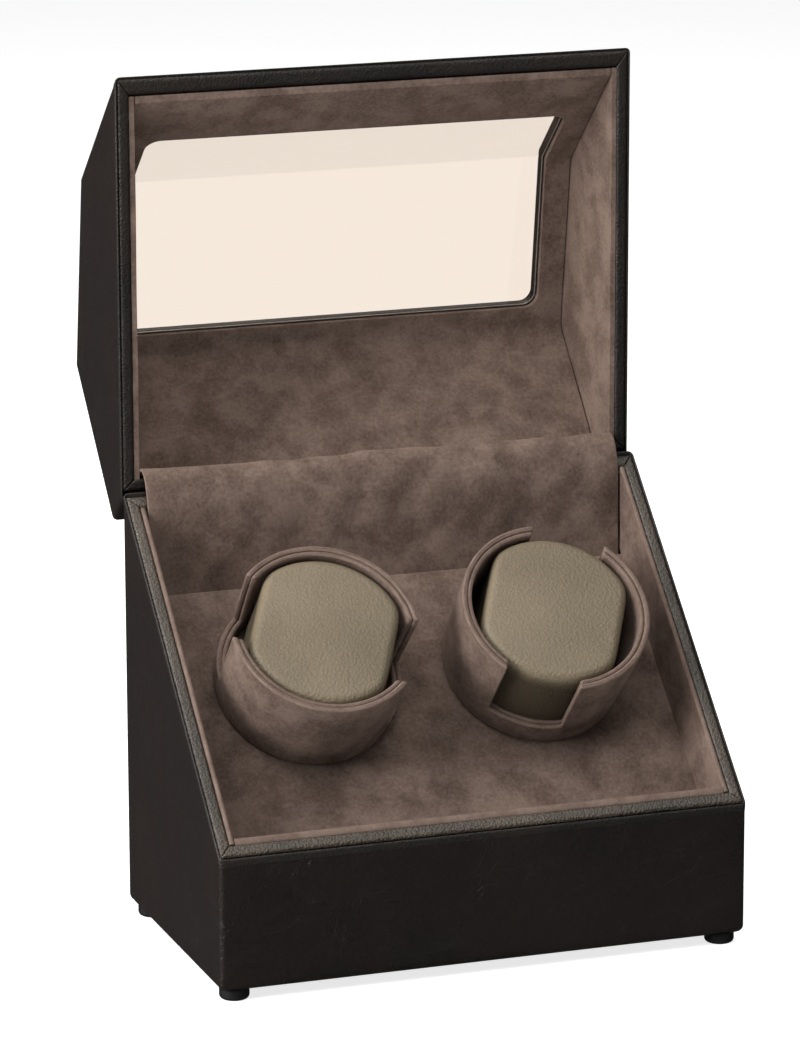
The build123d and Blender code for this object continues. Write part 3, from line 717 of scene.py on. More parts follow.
def padded_rim(
    layout: Layout, body: str, finish: str, edges: tuple[float, float, float],
    widths: tuple[float, float, float], plane: float, facing: int, runs: tuple[tuple[str, int, float], ...]
) -> None:
    """Builds and dresses the four mitred runs of a rim.

    Args:
        layout: Where things are.
        body: The body that carries the rim.
        finish: The pads' finish.
        edges: Half the rim's width, and its near and far edges up the slope.
        widths: The side, near and far pads' widths.
        plane: The rim's outer plane, as lift.
        facing: 1 where the rim faces up, -1 where it faces down.
        runs: Name, seed and wrinkle of the left, right, near and far runs.
    """
    x, y0, y1 = edges
    side, near, far = widths
    low, high = near / side, far / side
    courses = (
        ((-x, y1), (-x, y0), (1, 0), side, (high, low)), ((x, y0), (x, y1), (-1, 0), side, (low, high)),
        ((-x, y0), (x, y0), (0, 1), near, (1 / low, 1 / low)),
        ((x, y1), (-x, y1), (0, -1), far, (1 / high, 1 / high))
    )
    for number, ((name, seed, wrinkle), course) in enumerate(zip(runs, courses)):
        start, end, inward, width, mitres = course
        if facing < 0:
            start, end, mitres = end, start, mitres[::-1]
        run = RimRun(f"{body}_rim_pad_{name}", start, end, inward, width, mitres, seed=seed, wrinkle=wrinkle)
        piece = dress(run.build(layout, plane, facing), "rim_leather", body, finish)
        if number == 0:
            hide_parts(f"{body}_rim_pad")


SIDE_POINTS = 24  # on each straight side of the carcass


def rounded_rectangle(x1: float, y0: float, y1: float, radius: float, between: int = 0) -> Array:
    """A rectangle with rounded corners, counter-clockwise, with seven points to a corner.

    Args:
        x1: Half its width; it is centred across.
        y0: Its near edge.
        y1: Its far edge.
        radius: The corners' radius.
        between: Extra points on each straight side.

    Returns:
        (n, 2) points.
    """
    r = max(radius, 0.05)
    runs = []
    for turn, (cx, cy) in enumerate(((x1 - r, y1 - r), (r - x1, y1 - r), (r - x1, y0 + r), (x1 - r, y0 + r))):
        angle = np.linspace(0, math.pi / 2, 7) + turn * math.pi / 2
        runs.append(np.stack([cx + r * np.cos(angle), cy + r * np.sin(angle)], -1))
    t = np.linspace(0, 1, between + 2)[1:-1, None]
    out = []
    for run, following in zip(runs, runs[1:] + runs[:1]):
        out += [run, run[-1] + t * (following[0] - run[-1])]
    return np.concatenate(out)


def lip_ring(
    layout: Layout, name: str, half: float, near: float, far: float, plane: float, facing: int, radius: float
) -> bpy.types.Object:
    """The rolled leather edge outside a padded rim.

    A small hook-shaped section, a quarter round over the outer face and down into the groove, is
    carried round a rounded rectangle in the rim's plane.

    Args:
        layout: Where things are.
        name: The piece's name.
        half: Half the width across, in mm.
        near: Front outer edge, as distance up the slope.
        far: Back outer edge.
        plane: The rim's outer plane, as lift.
        facing: 1 where the rim faces up, -1 where it faces down.
        radius: The corner radius in the rim's plane.

    Returns:
        The ring, swung open where it faces down; the caller dresses it.
    """
    slant = math.tan(layout.slope)
    angle = np.linspace(0, math.pi / 2, 6)
    section = np.concatenate(
        [
            [[0.0, -2.6]], np.stack([0.55 - 0.55 * np.cos(angle), -0.75 + 0.55 * np.sin(angle)], -1),
            [[0.8, -0.3], [0.95, -0.6], [1.0, -1.2], [1.0, -2.6]]
        ]
    )
    loops = []
    for inset, level in section:
        # The outer walls are upright, so going down moves the front and back edges downhill.
        lean = -facing * level * slant
        loop = rounded_rectangle(half - inset, near + inset - lean, far - inset - lean, radius - inset)
        loops.append(layout.on_rim(loop[:, 0], loop[:, 1], plane + facing * level))
    grid = np.array(loops)
    rings, around = grid.shape[:2]
    index = np.arange(rings * around).reshape(rings, around)
    wrapped = np.concatenate([index, index[:, :1]], 1)
    wrapped = np.concatenate([wrapped, wrapped[:1]], 0)
    if facing < 0:
        grid = layout.opened(grid)
    return make_object(name, layout.metres(grid.reshape(-1, 3)), [quads(wrapped)], 40)


# ---------------------------------------------------------------- the case


@dataclass
class Case:
    """The sloping case: leather skin, padded rim, suede lining and deck."""

    layout: Layout
    side_wall: float = 6.5
    front_wall: float = 5.5
    back_wall: float = 6.5
    pad_depth: float = 2.5
    lining: float = 2.5
    deck_drop: float = 28.15
    corner: float = 2.6
    bottom_round: float = 3.4
    base: float = 6.0
    turn_in: float = 12.0  # how far the skin is turned in under the base
    roll: float = 1.1  # the rolled edge outside the pads
    back_roll: float = 1.9

    def skin(self) -> bpy.types.Object:
        """The leather-covered carcass: a wall section carried round the plan, its top on the slope.

        Section: in under the bottom edge, a quarter round of 3.4 mm, up the face to just under
        the rolled edge, over the wall under the pad and down inside.
        """
        lay = self.layout
        angle = np.linspace(0, math.pi / 2, 7)
        under = np.stack([1 - np.sin(angle), 1 - np.cos(angle)], -1) * self.bottom_round
        loops = []
        for inset, height in [(self.turn_in, 0.0), *under]:
            corner = self.corner - 0.4 * inset
            plan = rounded_rectangle(lay.half - inset, inset, lay.depth - inset, corner, SIDE_POINTS)
            loops.append(np.column_stack([plan, np.full(len(plan), height)]))
        plan = rounded_rectangle(lay.half, 0.0, lay.depth, self.corner, SIDE_POINTS)
        for share in np.linspace(0, 1, 9)[1:]:
            top = lay.rim_height(plan[:, 1], -self.pad_depth)
            low = self.bottom_round
            loops.append(np.column_stack([plan, low + share * (top - low)]))
        back = lay.depth - self.back_wall + 0.1
        inner = rounded_rectangle(
            lay.half - self.side_wall + 0.1, self.front_wall - 0.1, back, 0.4, SIDE_POINTS
        )
        loops.append(np.column_stack([inner, lay.rim_height(inner[:, 1], -self.pad_depth)]))
        loops.append(np.column_stack([inner, np.full(len(inner), self.base - 0.2)]))
        grid = np.array(loops)
        piece = make_object("case_skin", *sealed(lay.metres(grid)), 40)
        return cut(piece, self.hinge_rooms())

    def hinge_rooms(self) -> list[bpy.types.Object]:
        """Blocks for the two recesses that the hinges lie in."""
        rooms = []
        for side in ("left", "right"):
            low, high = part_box(f"hinge_leaf_case_{side}")
            low = np.array(low) - 0.5 * MM
            high = np.array(high) + np.array([0.5, 4, 6]) * MM
            rooms.append(make_object("room", low + BOX_CORNERS * (high - low), [BOX_FACES]))
        return rooms

    def rim(self) -> None:
        """The four padded runs and the rolled edge outside them."""
        lay = self.layout
        c = math.cos(lay.slope)
        inset, far = self.roll, self.back_roll
        edges = (lay.half - inset, inset / c, (lay.depth - far) / c)
        widths = (self.side_wall - inset, (self.front_wall - inset) / c, (self.back_wall - far) / c)
        runs = (("left", 3, 0.1), ("right", 5, 0.2), ("front", 9, 0.2), ("back", 11, 0.1))
        padded_rim(lay, "case", "rim_leather", edges, widths, 0.0, 1, runs)
        ring = lip_ring(lay, "case_rolled_edge", lay.half, 0.0, lay.depth / c, 0.0, 1, self.corner)
        dress(cut(ring, self.hinge_rooms()), "rim_leather", "case", "lid_rim_leather")

    def linings(self) -> None:
        """Suede on card inside the two sides and the front: a strip with a rounded top edge.

        The section is a rectangle with a half-round top, carried down one side, across the front
        and up the other in the plane of the rim.
        """
        lay = self.layout
        c = math.cos(lay.slope)
        t = self.lining
        a = np.linspace(0, math.pi, 9)
        section = np.concatenate(
            [
                [[0.12, -self.deck_drop + 0.1], [0.12, -4.0]],
                np.stack([t / 2 - (t / 2 - 0.12) * np.cos(a), -0.7 + 0.9 * np.sin(a)], -1),
                [[t - 0.12, -4.0], [t - 0.12, -self.deck_drop + 0.1]]
            ]
        )
        made = []
        x_in = lay.half - self.side_wall
        up0, up1 = self.front_wall / c, (lay.depth - self.back_wall) / c
        for name, side in (("left", -1), ("right", 1)):
            up = np.linspace(up0 + 0.1, up1 - 0.2, 90)
            soft = 0.25 * waves(up, up * 0, 21 + side, (23.0, 41.0, 67.0))
            x = side * (x_in - section[None, :, 0])
            x = x + side * soft[:, None] * (section[None, :, 1] < -2)
            grid = lay.on_rim(x, up[:, None], section[None, :, 1])
            # The card stands on the deck and meets the upright front wall.
            grid[..., 1] = np.clip(grid[..., 1], self.front_wall + 0.1, lay.depth - self.back_wall - 0.1)
            made.append(make_object(f"case_suede_{name}", *sealed(lay.metres(grid)), 50))
            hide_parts(f"case_lining_{name}")
        x = np.linspace(-x_in + t + 0.1, x_in - t - 0.1, 150)
        y = self.front_wall + section[:, 0]
        z = lay.rim_height(y, 0.0) + section[:, 1] / math.cos(lay.slope)
        grid = np.stack(np.broadcast_arrays(x[:, None], y, z), -1)
        made.append(make_object("case_suede_front", *sealed(lay.metres(grid)), 50))
        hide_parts("case_lining_front")
        for piece in made:
            dress(piece, "suede", "case")
            self.paint_top_highlight(piece)

    def paint_top_highlight(self, piece: bpy.types.Object) -> None:
        """Gives the faces that lean out of the rim by more than about 60 degrees the paler suede, a painted
        highlight on the lining's top.
        """
        mesh = piece.data
        normals = np.zeros(len(mesh.polygons) * 3)
        mesh.polygons.foreach_get("normal", normals)
        out = np.array([0.0, -math.sin(self.layout.slope), math.cos(self.layout.slope)])
        # Faces turned up out of the rim take the paler suede as a painted highlight where the top edge catches the
        # light.
        mesh.materials.append(material_for("suede_painted_highlight"))
        mesh.polygons.foreach_set("material_index", (normals.reshape(-1, 3) @ out > 0.5).astype(np.int32))

    def deck(self) -> bpy.types.Object:
        """The suede-covered deck: a soft-edged slab with its cover turned down at the edges.

        Height falls by a quarter round in the last 1.6 mm, with a swell of a fifth of a
        millimetre elsewhere.
        """
        lay = self.layout
        _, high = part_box("deck_board")
        x1 = high.x / MM
        c, s = math.cos(lay.slope), math.sin(lay.slope)
        near = (self.front_wall + 0.3 - self.deck_drop * s) / c
        far = ((high.y - lay.shift[1]) / MM + 1.5 - self.deck_drop * s) / c
        soft = 1.6
        t = np.concatenate([[0, 0.05, 0.25, 0.6, 1.1, soft], [3.0]])
        x = np.unique(np.concatenate([np.linspace(-x1 + 3, x1 - 3, 90), -x1 + t, x1 - t]))
        up = np.unique(np.concatenate([np.linspace(near + 3, far - 3, 60), near + t, far - t]))
        xx, uu = np.meshgrid(x, up, indexing="ij")
        edge = np.minimum(np.minimum(xx + x1, x1 - xx), np.minimum(uu - near, far - uu))
        fall = soft - np.sqrt(np.clip(soft**2 - (soft - np.clip(edge, 0, soft)) ** 2, 0, None))
        swell = 0.12 * waves(xx, uu, 31, (45.0, 70.0, 110.0)) * smooth_step(edge, 2, 20)
        top = -self.deck_drop - fall + swell
        outer = lay.on_rim(xx, uu, top)
        inner = lay.on_rim(xx, uu, np.full_like(top, -self.deck_drop - 3.9))
        piece = make_object("deck_suede", *sewn(lay.metres(outer), lay.metres(inner)), 50)
        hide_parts("deck_board")
        return dress(piece, "suede", "case")

    def build(self) -> None:
        """Builds and dresses every piece of the case."""
        skin = dress(self.skin(), "exterior_leather", "case")
        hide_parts("case_side_left", "case_side_right", "case_front", "case_back")
        self.rim()
        self.linings()
        self.deck()


# ---------------------------------------------------------------- the lid


@dataclass
class Lid:
    """The five-sided lid with its bent window, worked out closed and then swung open."""

    layout: Layout
    inset: float = 0.75
    wall: float = 6.5
    lining: float = 2.5
    front_height: float = 83.0
    top_depth: float = 85.0
    back_height: float = 21.7
    rim_gap: float = 0.6
    pad_depth: float = 2.5
    corner: float = 2.4
    roll: float = 1.1  # the rolled edge outside the pads
    back_roll: float = 2.6
    seam: float = 0.5  # the open joint beside each lining plate
    window_half: float = 101.5
    window_slope: float = 76.0
    window_front: float = 39.8
    window_corner: float = 6.0

    def __post_init__(self) -> None:
        """Works out the outline's five corners."""
        lay = self.layout
        self.half = lay.half - self.inset
        self.fold_z = lay.rim_height(0.0) + self.front_height
        self.top_z = lay.back_height + self.back_height
        self.tilt = math.atan2(self.top_z - self.fold_z, lay.depth - self.top_depth)

    def outline(self, inside: float, lift: float) -> Array:
        """The closed lid's side outline at a depth inside its surface: rim, fold, crease, back, rim."""
        lay = self.layout
        slant = math.tan(self.tilt)
        shift = inside / math.cos(self.tilt)
        ceiling = self.top_z - inside
        crease = (ceiling - self.fold_z + shift) / slant
        back = lay.depth - inside
        return np.array(
            [
                [inside, lay.rim_height(inside, lift)], [inside, self.fold_z + inside * slant - shift],
                [crease, ceiling], [back, ceiling], [back, lay.rim_height(back, lift)]
            ]
        )

    def path(self, inside: float, lift: float, radii: tuple[float, ...], grow: float, runs: int = 4) -> Array:
        """The outline as points, with rows at the window's edges and corners.

        Args:
            inside: Depth inside the lid's surface.
            lift: Where the rim ends.
            radii: Radius at the fold, the crease and the back corner.
            grow: How much larger than the window the opening is.
            runs: How many of the four panels to follow.

        Returns:
            (n, 2) depths and heights.
        """
        corners = self.outline(inside, lift)[: runs + 1]
        fold = np.array([0.0, self.fold_z])
        ways = np.array([[0.0, 1.0], [math.cos(self.tilt), math.sin(self.tilt)]])
        steps, _ = self.corner_steps(grow)
        front = -(self.window_front + grow) + np.concatenate([[-8, -3], steps])
        slope = (self.window_slope + grow) - np.concatenate([steps[::-1], [-3, -8]])
        # Distances are from the outer fold, measured along each panel.
        starts = [(corners[0] - fold) @ ways[0], (corners[1] - fold) @ ways[1]]
        rows = [[float(v - starts[0]) for v in front], [float(v - starts[1]) for v in slope]]
        for k in (2, 3)[: runs - 2]:
            length = float(np.linalg.norm(corners[k + 1] - corners[k]))
            rows.append([length * f for f in (np.linspace(0.15, 0.85, 8) if k == 2 else (0.4, 0.6))])
        return rounded_outline(corners, np.array(radii[: runs - 1]), 7, rows)

    def corner_steps(self, grow: float) -> tuple[Array, Array]:
        """Row places before a window corner, and how far each moves onto the corner's arc.

        With t going evenly from 45 degrees to 0 and the radius r, the places are r (1 - sin t) and
        the moves r (1 - cos t). The first place is the corner itself, at 0.
        """
        radius = self.window_corner + grow
        t = np.linspace(math.pi / 4, 0, 7)
        places = radius * (1 - np.sin(t))
        places[0] = 0.0
        return places, radius * (1 - np.cos(t))

    def columns(self, half: float, grow: float) -> Array:
        """Column positions across: fine by the window's corners, even elsewhere."""
        radius = self.window_corner + grow
        edge = self.window_half + grow
        steps, _ = self.corner_steps(grow)
        right = np.concatenate([edge - steps[::-1], [edge + 3, edge + 8]])
        middle = np.linspace(-edge + radius, edge - radius, 60)[1:-1]
        return np.concatenate([[-half], -right[::-1], middle, right, [half]])

    def window_keep(self, rows: int, columns: int) -> Array:
        """Which faces stay: all but those inside the window's edges."""
        keep = np.ones((rows - 1, columns - 1), bool)
        # Rows: end, two outside, seven down the corner, seven round the fold, seven up, two outside.
        keep[3:23, 3:-3] = False
        return keep

    def round_window(self, grid: Array, grow: float) -> Array:
        """Moves the rows and columns at the window's corners onto its corner arcs."""
        _, bow = self.corner_steps(grow)
        up = np.array([[0.0, 0.0, 1.0], [0.0, -math.cos(self.tilt), -math.sin(self.tilt)]])
        across = np.array([1.0, 0.0, 0.0])
        moved = grid.copy()
        last = grid.shape[1] - 4
        for row, step, way in ((3, 1, up[0]), (23, -1, up[1])):
            for column, side in ((3, 1), (last, -1)):
                rows = row + step * np.arange(7)
                columns = column + side * np.arange(7)
                moved[rows, column] += side * bow[:, None] * across
                moved[row, columns] += bow[:, None] * way
        return moved

    def grid(self, path: Array, columns: Array) -> Array:
        """A path of depths and heights carried across a set of columns."""
        return np.stack(np.broadcast_arrays(columns, path[:, :1], path[:, 1:]), -1)

    def capped(self, path: Array, inner_path: Array, half: float, radius: float, columns: Array) -> Array:
        """The wrap with rounded side edges and flat side plates, as one grid.

        Columns run from the middle of the rim on one side, out over the side plate, round the
        edge by a quarter circle, across, and the same again.

        Args:
            path: The outline at the surface.
            inner_path: The outline a corner radius inside it, matching point for point.
            half: Half the width.
            radius: The side edges' radius.
            columns: Positions across between the rounded edges.

        Returns:
            (rows, columns, 3) points.
        """
        lay = self.layout
        share = np.linspace(0, 1, len(path))[:, None]
        rim = inner_path[0] + share * (inner_path[-1] - inner_path[0])
        cap = [
            np.column_stack(
                [np.full(len(path), half), rim + w * (inner_path - rim)]
            ) for w in np.linspace(0, 1, 7)
        ]
        turn = [
            np.column_stack(
                [
                    np.full(len(path), half - radius * (1 - math.cos(a))),
                    inner_path + math.sin(a) * (path - inner_path)
                ]
            ) for a in np.linspace(0, math.pi / 2, 6)[1:-1]
        ]
        right = np.stack([*cap, *turn], 1)[:, ::-1]
        left = np.stack([*cap, *turn], 1) * np.array([-1, 1, 1])
        middle = self.grid(path, columns)
        return np.concatenate([left, middle, right], 1)

    def shell(self) -> bpy.types.Object:
        """The leather-covered shell: an outer and an inner grid, sewn round the rim and the window."""
        lift = self.rim_gap + self.pad_depth
        r = self.corner
        columns = self.columns(self.half - r, 0.0)
        outer_path = self.path(0.0, lift, (r, r, r), 0.0)
        eased = self.path(r, lift, (0.05, 0.05, 0.05), 0.0)
        outer = self.capped(outer_path, eased, self.half, r, columns)
        board = self.wall - 0.1
        inside = 0.4
        inner_path = self.path(board, lift, (inside, inside, inside), 0.0)
        inner_eased = self.path(board + inside, lift, (0.05, 0.05, 0.05), 0.0)
        edge = self.half - board - inside
        inner_columns = np.concatenate([[-edge], columns[1:-1], [edge]])
        inner = self.capped(inner_path, inner_eased, self.half - board, inside, inner_columns)
        sides = 11
        keep = np.ones((outer.shape[0] - 1, outer.shape[1] - 1), bool)
        keep[:, sides:-sides] = self.window_keep(outer.shape[0], columns.size)
        for grid in (outer, inner):
            grid[:, sides:-sides] = self.round_window(grid[:, sides:-sides], 0.0)
        lay = self.layout
        piece = make_object(
            "lid_skin", *sewn(lay.metres(lay.opened(outer)), lay.metres(lay.opened(inner)), keep), 40
        )
        return cut(piece, self.leaf_rooms())

    def leaf_rooms(self) -> list[bpy.types.Object]:
        """The rebates for the hinge leaves, from the hinge's line up the outside of the back."""
        lay = self.layout
        rooms = []
        for side in ("left", "right"):
            left, right = (corner.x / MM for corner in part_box(f"hinge_leaf_lid_{side}"))
            low = np.array([left - 0.5, lay.pivot[1] - 2.25, lay.pivot[2] - 4])
            high = np.array([right + 0.5, lay.depth + 4, lay.pivot[2] + 13.6])
            points = lay.metres(lay.opened(low + BOX_CORNERS * (high - low)))
            rooms.append(make_object("room", points, [BOX_FACES]))
        return rooms

    def rim(self) -> None:
        """The four padded runs of the lid's rim and its rolled edge."""
        lay = self.layout
        c = math.cos(lay.slope)
        inset, far, finish = self.roll, self.back_roll, "lid_rim_leather"
        # Distances up the slope are taken on the rim's own plane, which lies rim_gap higher.
        shift = self.rim_gap * math.tan(lay.slope)
        edges = (self.half - inset, inset / c + shift, (lay.depth - far) / c + shift)
        widths = (self.wall - inset, (self.wall - inset) / c, (self.wall - far) / c)
        runs = (("left", 13, 0.1), ("right", 15, 0.1), ("top", 17, 0.1), ("back", 19, 0.1))
        padded_rim(lay, "lid", finish, edges, widths, self.rim_gap, -1, runs)
        ring = lip_ring(
            lay, "lid_rolled_edge", self.half, shift, lay.depth / c + shift, self.rim_gap, -1, self.corner
        )
        dress(cut(ring, self.leaf_rooms()), "rim_leather", "lid", finish)

    def linings(self) -> None:
        """The suede lining that wraps round the bends, and its two side plates."""
        lay = self.layout
        gap = 1.2
        grow = 0.8
        half = self.half - self.wall - self.lining - self.seam
        columns = self.columns(half, grow)
        outer = self.grid(self.path(self.wall + 0.05, gap, (3.0, 3.0), grow, 3), columns)
        inner = self.grid(self.path(self.wall + self.lining, gap, (7.0, 7.0), grow, 3), columns)
        soft = 0.35 * waves(inner[..., 0], inner[..., 1] + inner[..., 2], 41, (38.0, 57.0, 90.0, 130.0))
        keep = self.window_keep(outer.shape[0], columns.size)
        outer, inner = (self.round_window(g, grow) for g in (outer, inner))
        inner[24:, :, 2] += soft[24:]
        piece = bevelled(
            make_object(
                "lid_suede_wrap", *sewn(lay.metres(lay.opened(outer)), lay.metres(lay.opened(inner)), keep),
                50
            ),
            0.8
        )
        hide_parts("lid_lining_wrap")
        dress(piece, "suede", "lid")
        for name, side in (("left", -1), ("right", 1)):
            path = self.path(self.wall + 0.1, gap, (2.0, 2.0, 2.0), 0.0)
            share = np.linspace(0, 1, len(path))[:, None]
            rim = path[0] + share * (path[-1] - path[0])
            steps = 1 - np.concatenate([np.linspace(1, 0.06, 16), [0.02, 0.0]])
            plan = np.stack([rim + w * (path - rim) for w in steps], 1)
            x = self.half - self.wall
            puff = 0.3 * waves(plan[..., 0], plan[..., 1], 51 + side, (40.0, 66.0, 95.0))
            faces_x = [np.full(plan.shape[:2], x - 0.05), x - self.lining + puff * 0.5]
            grids = [np.concatenate([side * fx[..., None], plan], -1) for fx in faces_x]
            piece = bevelled(
                make_object(f"lid_suede_{name}", *sewn(*(lay.metres(lay.opened(g)) for g in grids)), 50), 0.8
            )
            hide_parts(f"lid_lining_{name}")
            dress(piece, "suede", "lid")

    def pane(self) -> None:
        """The acrylic window, bent to a 3 mm radius at the fold, in its rebate."""
        lay = self.layout
        grow = 3.7
        columns = self.columns(self.window_half + grow, grow)[3:-3]
        outer = self.grid(self.path(self.wall - 1.95, 3.1, (3.0, 0.1), grow, 3)[3:24], columns)
        inner = self.grid(self.path(self.wall - 0.05, 3.1, (1.1, 0.1), grow, 3)[3:24], columns)
        piece = make_object(
            "window_sheet", *sewn(lay.metres(lay.opened(outer)), lay.metres(lay.opened(inner))), 40
        )
        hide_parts("window_pane")
        dress(piece, "clear_acrylic", "lid")

    def build(self) -> None:
        """Builds and dresses every piece of the lid."""
        skin = dress(self.shell(), "exterior_leather", "lid")
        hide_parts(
            "lid_front", "lid_window_frame", "lid_top", "lid_back", "lid_side_left", "lid_side_right"
        )
        self.rim()
        self.linings()
        self.pane()


# ---------------------------------------------------------------- the hinge flap


@dataclass
class HingeFlap:
    """The suede flap that hides the hinge: one sheet from the deck over the rim onto the lid."""

    layout: Layout
    half: float = 115.2
    thickness: float = 1.3

    def centre(self) -> Array:
        """Depth and height of the flap's middle line, from the deck to inside the lid."""
        lay = self.layout
        back = lay.depth - 6.5
        rim = lay.back_height
        return np.array(
            [
                [back - 1.9, 143.5], [back - 1.8, 151.5], [back - 1.7, 160.0], [back - 1.6, 170.0],
                [back - 1.4, 180.0], [back - 0.6, 188.0], [back + 1.2, 194.5], [back + 4.2, rim + 5.8],
                [back + 9.0, rim + 8.6], [back + 13.6, rim + 6.4], [back + 16.8, rim + 1.6],
                [back + 19.2, rim - 3.6], [back + 22.6, rim - 7.6]
            ]
        )

    def build(self) -> None:
        """Spline through the middle line, with soft dimples where the suede hangs free."""
        lay = self.layout
        knots = self.centre()
        t = np.linspace(0, len(knots) - 1.001, 110)
        i = np.clip(t.astype(int), 0, len(knots) - 2)
        f = (t - i)[:, None]
        padded = np.concatenate([[2 * knots[0] - knots[1]], knots, [2 * knots[-1] - knots[-2]]])
        p0, p1, p2, p3 = (padded[i + k] for k in range(4))
        # Catmull-Rom: passes through each knot with the slope of its neighbours' chord.
        line = 0.5 * (
            2 * p1 + (p2 - p0) * f + (
                2 * p0 - 5 * p1 + 4 * p2 - p3
            ) * f**2 + (3 * p1 - p0 - 3 * p2 + p3) * f**3
        )
        tangent = np.gradient(line, axis=0)
        tangent /= np.linalg.norm(tangent, axis=1)[:, None]
        normal = np.stack([-tangent[:, 1], tangent[:, 0]], -1)
        length = np.concatenate([[0], np.cumsum(np.linalg.norm(np.diff(line, axis=0), axis=1))])
        x = np.linspace(-self.half, self.half, 190)
        ll, xx = np.meshgrid(length, x, indexing="ij")
        free = smooth_step(ll, 4, 25) * (1 - smooth_step(ll, length[-1] - 18, length[-1] - 4))
        dimple = 1.1 * waves(
            xx, ll * 0.45, 61, (42.0, 63.0, 88.0, 120.0)
        ) + 0.35 * waves(xx, ll, 67, (19.0, 27.0))
        sway = dimple * free
        y = line[:, :1] + normal[:, :1] * sway
        z = line[:, 1:] + normal[:, 1:] * sway
        grid = np.stack([xx, y, z], -1)
        back = np.stack([xx, y - normal[:, :1] * self.thickness, z - normal[:, 1:] * self.thickness], -1)
        # The flap's rounded edges take the paler suede as a painted highlight.
        piece = bevelled(
            make_object("hinge_flap", *sewn(lay.metres(grid), lay.metres(back)), 60), 0.4, 2, 60, highlight_edges=True
        )
        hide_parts("hinge_flap_lower", "hinge_flap_upper")
        dress(piece, "suede", None)
        middle = knots[8]
        start = lay.metres(np.array([0.0, middle[0] - 9, 196.0]))
        end = lay.metres(np.array([0.0, middle[0] + 9, 196.0]))
        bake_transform(piece)
        log.info("flap cut to %.1f by %.1f mm", 2 * self.half, length[-1])


# ---------------------------------------------------------------- cups and cushions


@dataclass
class Cup:
    """A suede cup on the deck, with two finger notches and a liner."""

    layout: Layout
    side: str
    turn: float  # degrees from +X to the notches
    radius: float = 44.1
    foot_radius: float = 42.4
    height: float = 49.4
    lift: float = 0.8
    wrap: float = 2.5
    liner: float = 2.2
    floor: float = 3.0
    notch: float = 34.0
    notch_depth: float = 36.0

    def stand(self, points: Array) -> Array:
        """Turns a shape about its axis and stands it on the deck, in metres."""
        lay = self.layout
        a = math.radians(self.turn)
        x = points[..., 0] * math.cos(a) - points[..., 1] * math.sin(a)
        y = points[..., 0] * math.sin(a) + points[..., 1] * math.cos(a)
        c, s = math.cos(lay.slope), math.sin(lay.slope)
        z = points[..., 2]
        out = np.stack([x, y * c - z * s, y * s + z * c], -1)
        return lay.metres(out + lay.cups[self.side])

    def wall(
        self, name: str, outside: float, thick: float, low: float, high: float, taper: float
    ) -> bpy.types.Object:
        """A ring wall with its two notches.

        Columns are angles; each notch's edges stay a fixed distance either side of its own line, so
        an edge's angle is the arcsine of that distance over the radius.
        """
        per = 15

        def angles(radius: float) -> Array:
            edge = math.asin(self.notch / 2 / radius)
            gap = np.linspace(-edge, edge, per)
            side = np.linspace(edge, math.pi - edge, 56)[1:-1]
            one = np.concatenate([gap, side])
            return np.concatenate([one, one + math.pi])

        sill = self.height - self.notch_depth
        z = np.concatenate([np.linspace(low, sill, 9), np.linspace(sill, high, 17)[1:]])
        grids = []
        for inset in (0.0, thick):
            share = (z - self.lift) / (self.height - self.lift)
            r = outside - inset - taper * (1 - share) ** 1.5
            a = np.stack([angles(float(v)) for v in r])
            soft = 0.22 * np.sin(3 * a + 0.7) * np.sin(math.pi * share)[:, None] * (inset == 0)
            rr = r[:, None] + soft
            grids.append(np.stack([rr * np.cos(a), rr * np.sin(a), np.broadcast_to(z[:, None], a.shape)], -1))
        keep = np.ones((len(z) - 1, grids[0].shape[1]), bool)
        half = per + 54
        keep[8:, 0 : per - 1] = False
        keep[8:, half : half + per - 1] = False
        points, faces = sewn(*(self.stand(g) for g in grids), keep, ring=True)
        # The cup's rounded rim and notch edges take the paler suede as a painted highlight.
        return bevelled(make_object(name, points, faces, 50), 0.9, 3, 50, highlight_edges=True)

    def build(self) -> None:
        """The wrap, its floor and the liner."""
        wrap = self.wall(
            f"cup_suede_{self.side}", self.radius, self.wrap, self.lift, self.height,
            self.radius - self.foot_radius
        )
        dress(wrap, "suede", f"cup_{self.side}")
        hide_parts(f"cup_wrap_{self.side}")
        liner = self.wall(
            f"cup_suede_liner_{self.side}", self.radius - self.wrap - 0.05, self.liner,
            self.lift + self.floor, self.height - 0.5, self.radius - self.foot_radius
        )
        dress(liner, "suede", f"cup_{self.side}")
        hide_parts(f"cup_liner_{self.side}")
        edge = self.foot_radius - 0.4
        section = np.array(
            [
                [edge * 0.3, self.lift], [edge * 0.7, self.lift], [edge - 0.8, self.lift],
                [edge - 0.2, self.lift + 0.3], [edge, self.lift + 1.0], [edge, self.lift + self.floor - 0.6],
                [edge - 0.6, self.lift + self.floor], [edge * 0.3, self.lift + self.floor]
            ]
        )
        a = np.linspace(0, 2 * math.pi, 97)[:-1]
        grid = np.stack(
            [
                section[:, :1] * np.cos(a), section[:, :1] * np.sin(a),
                np.broadcast_to(section[:, 1:], (len(section), len(a)))
            ],
            -1
        )
        points, faces = sealed(self.stand(grid))
        dress(make_object(f"cup_floor_{self.side}", points, faces, 50), "suede", f"cup_{self.side}")


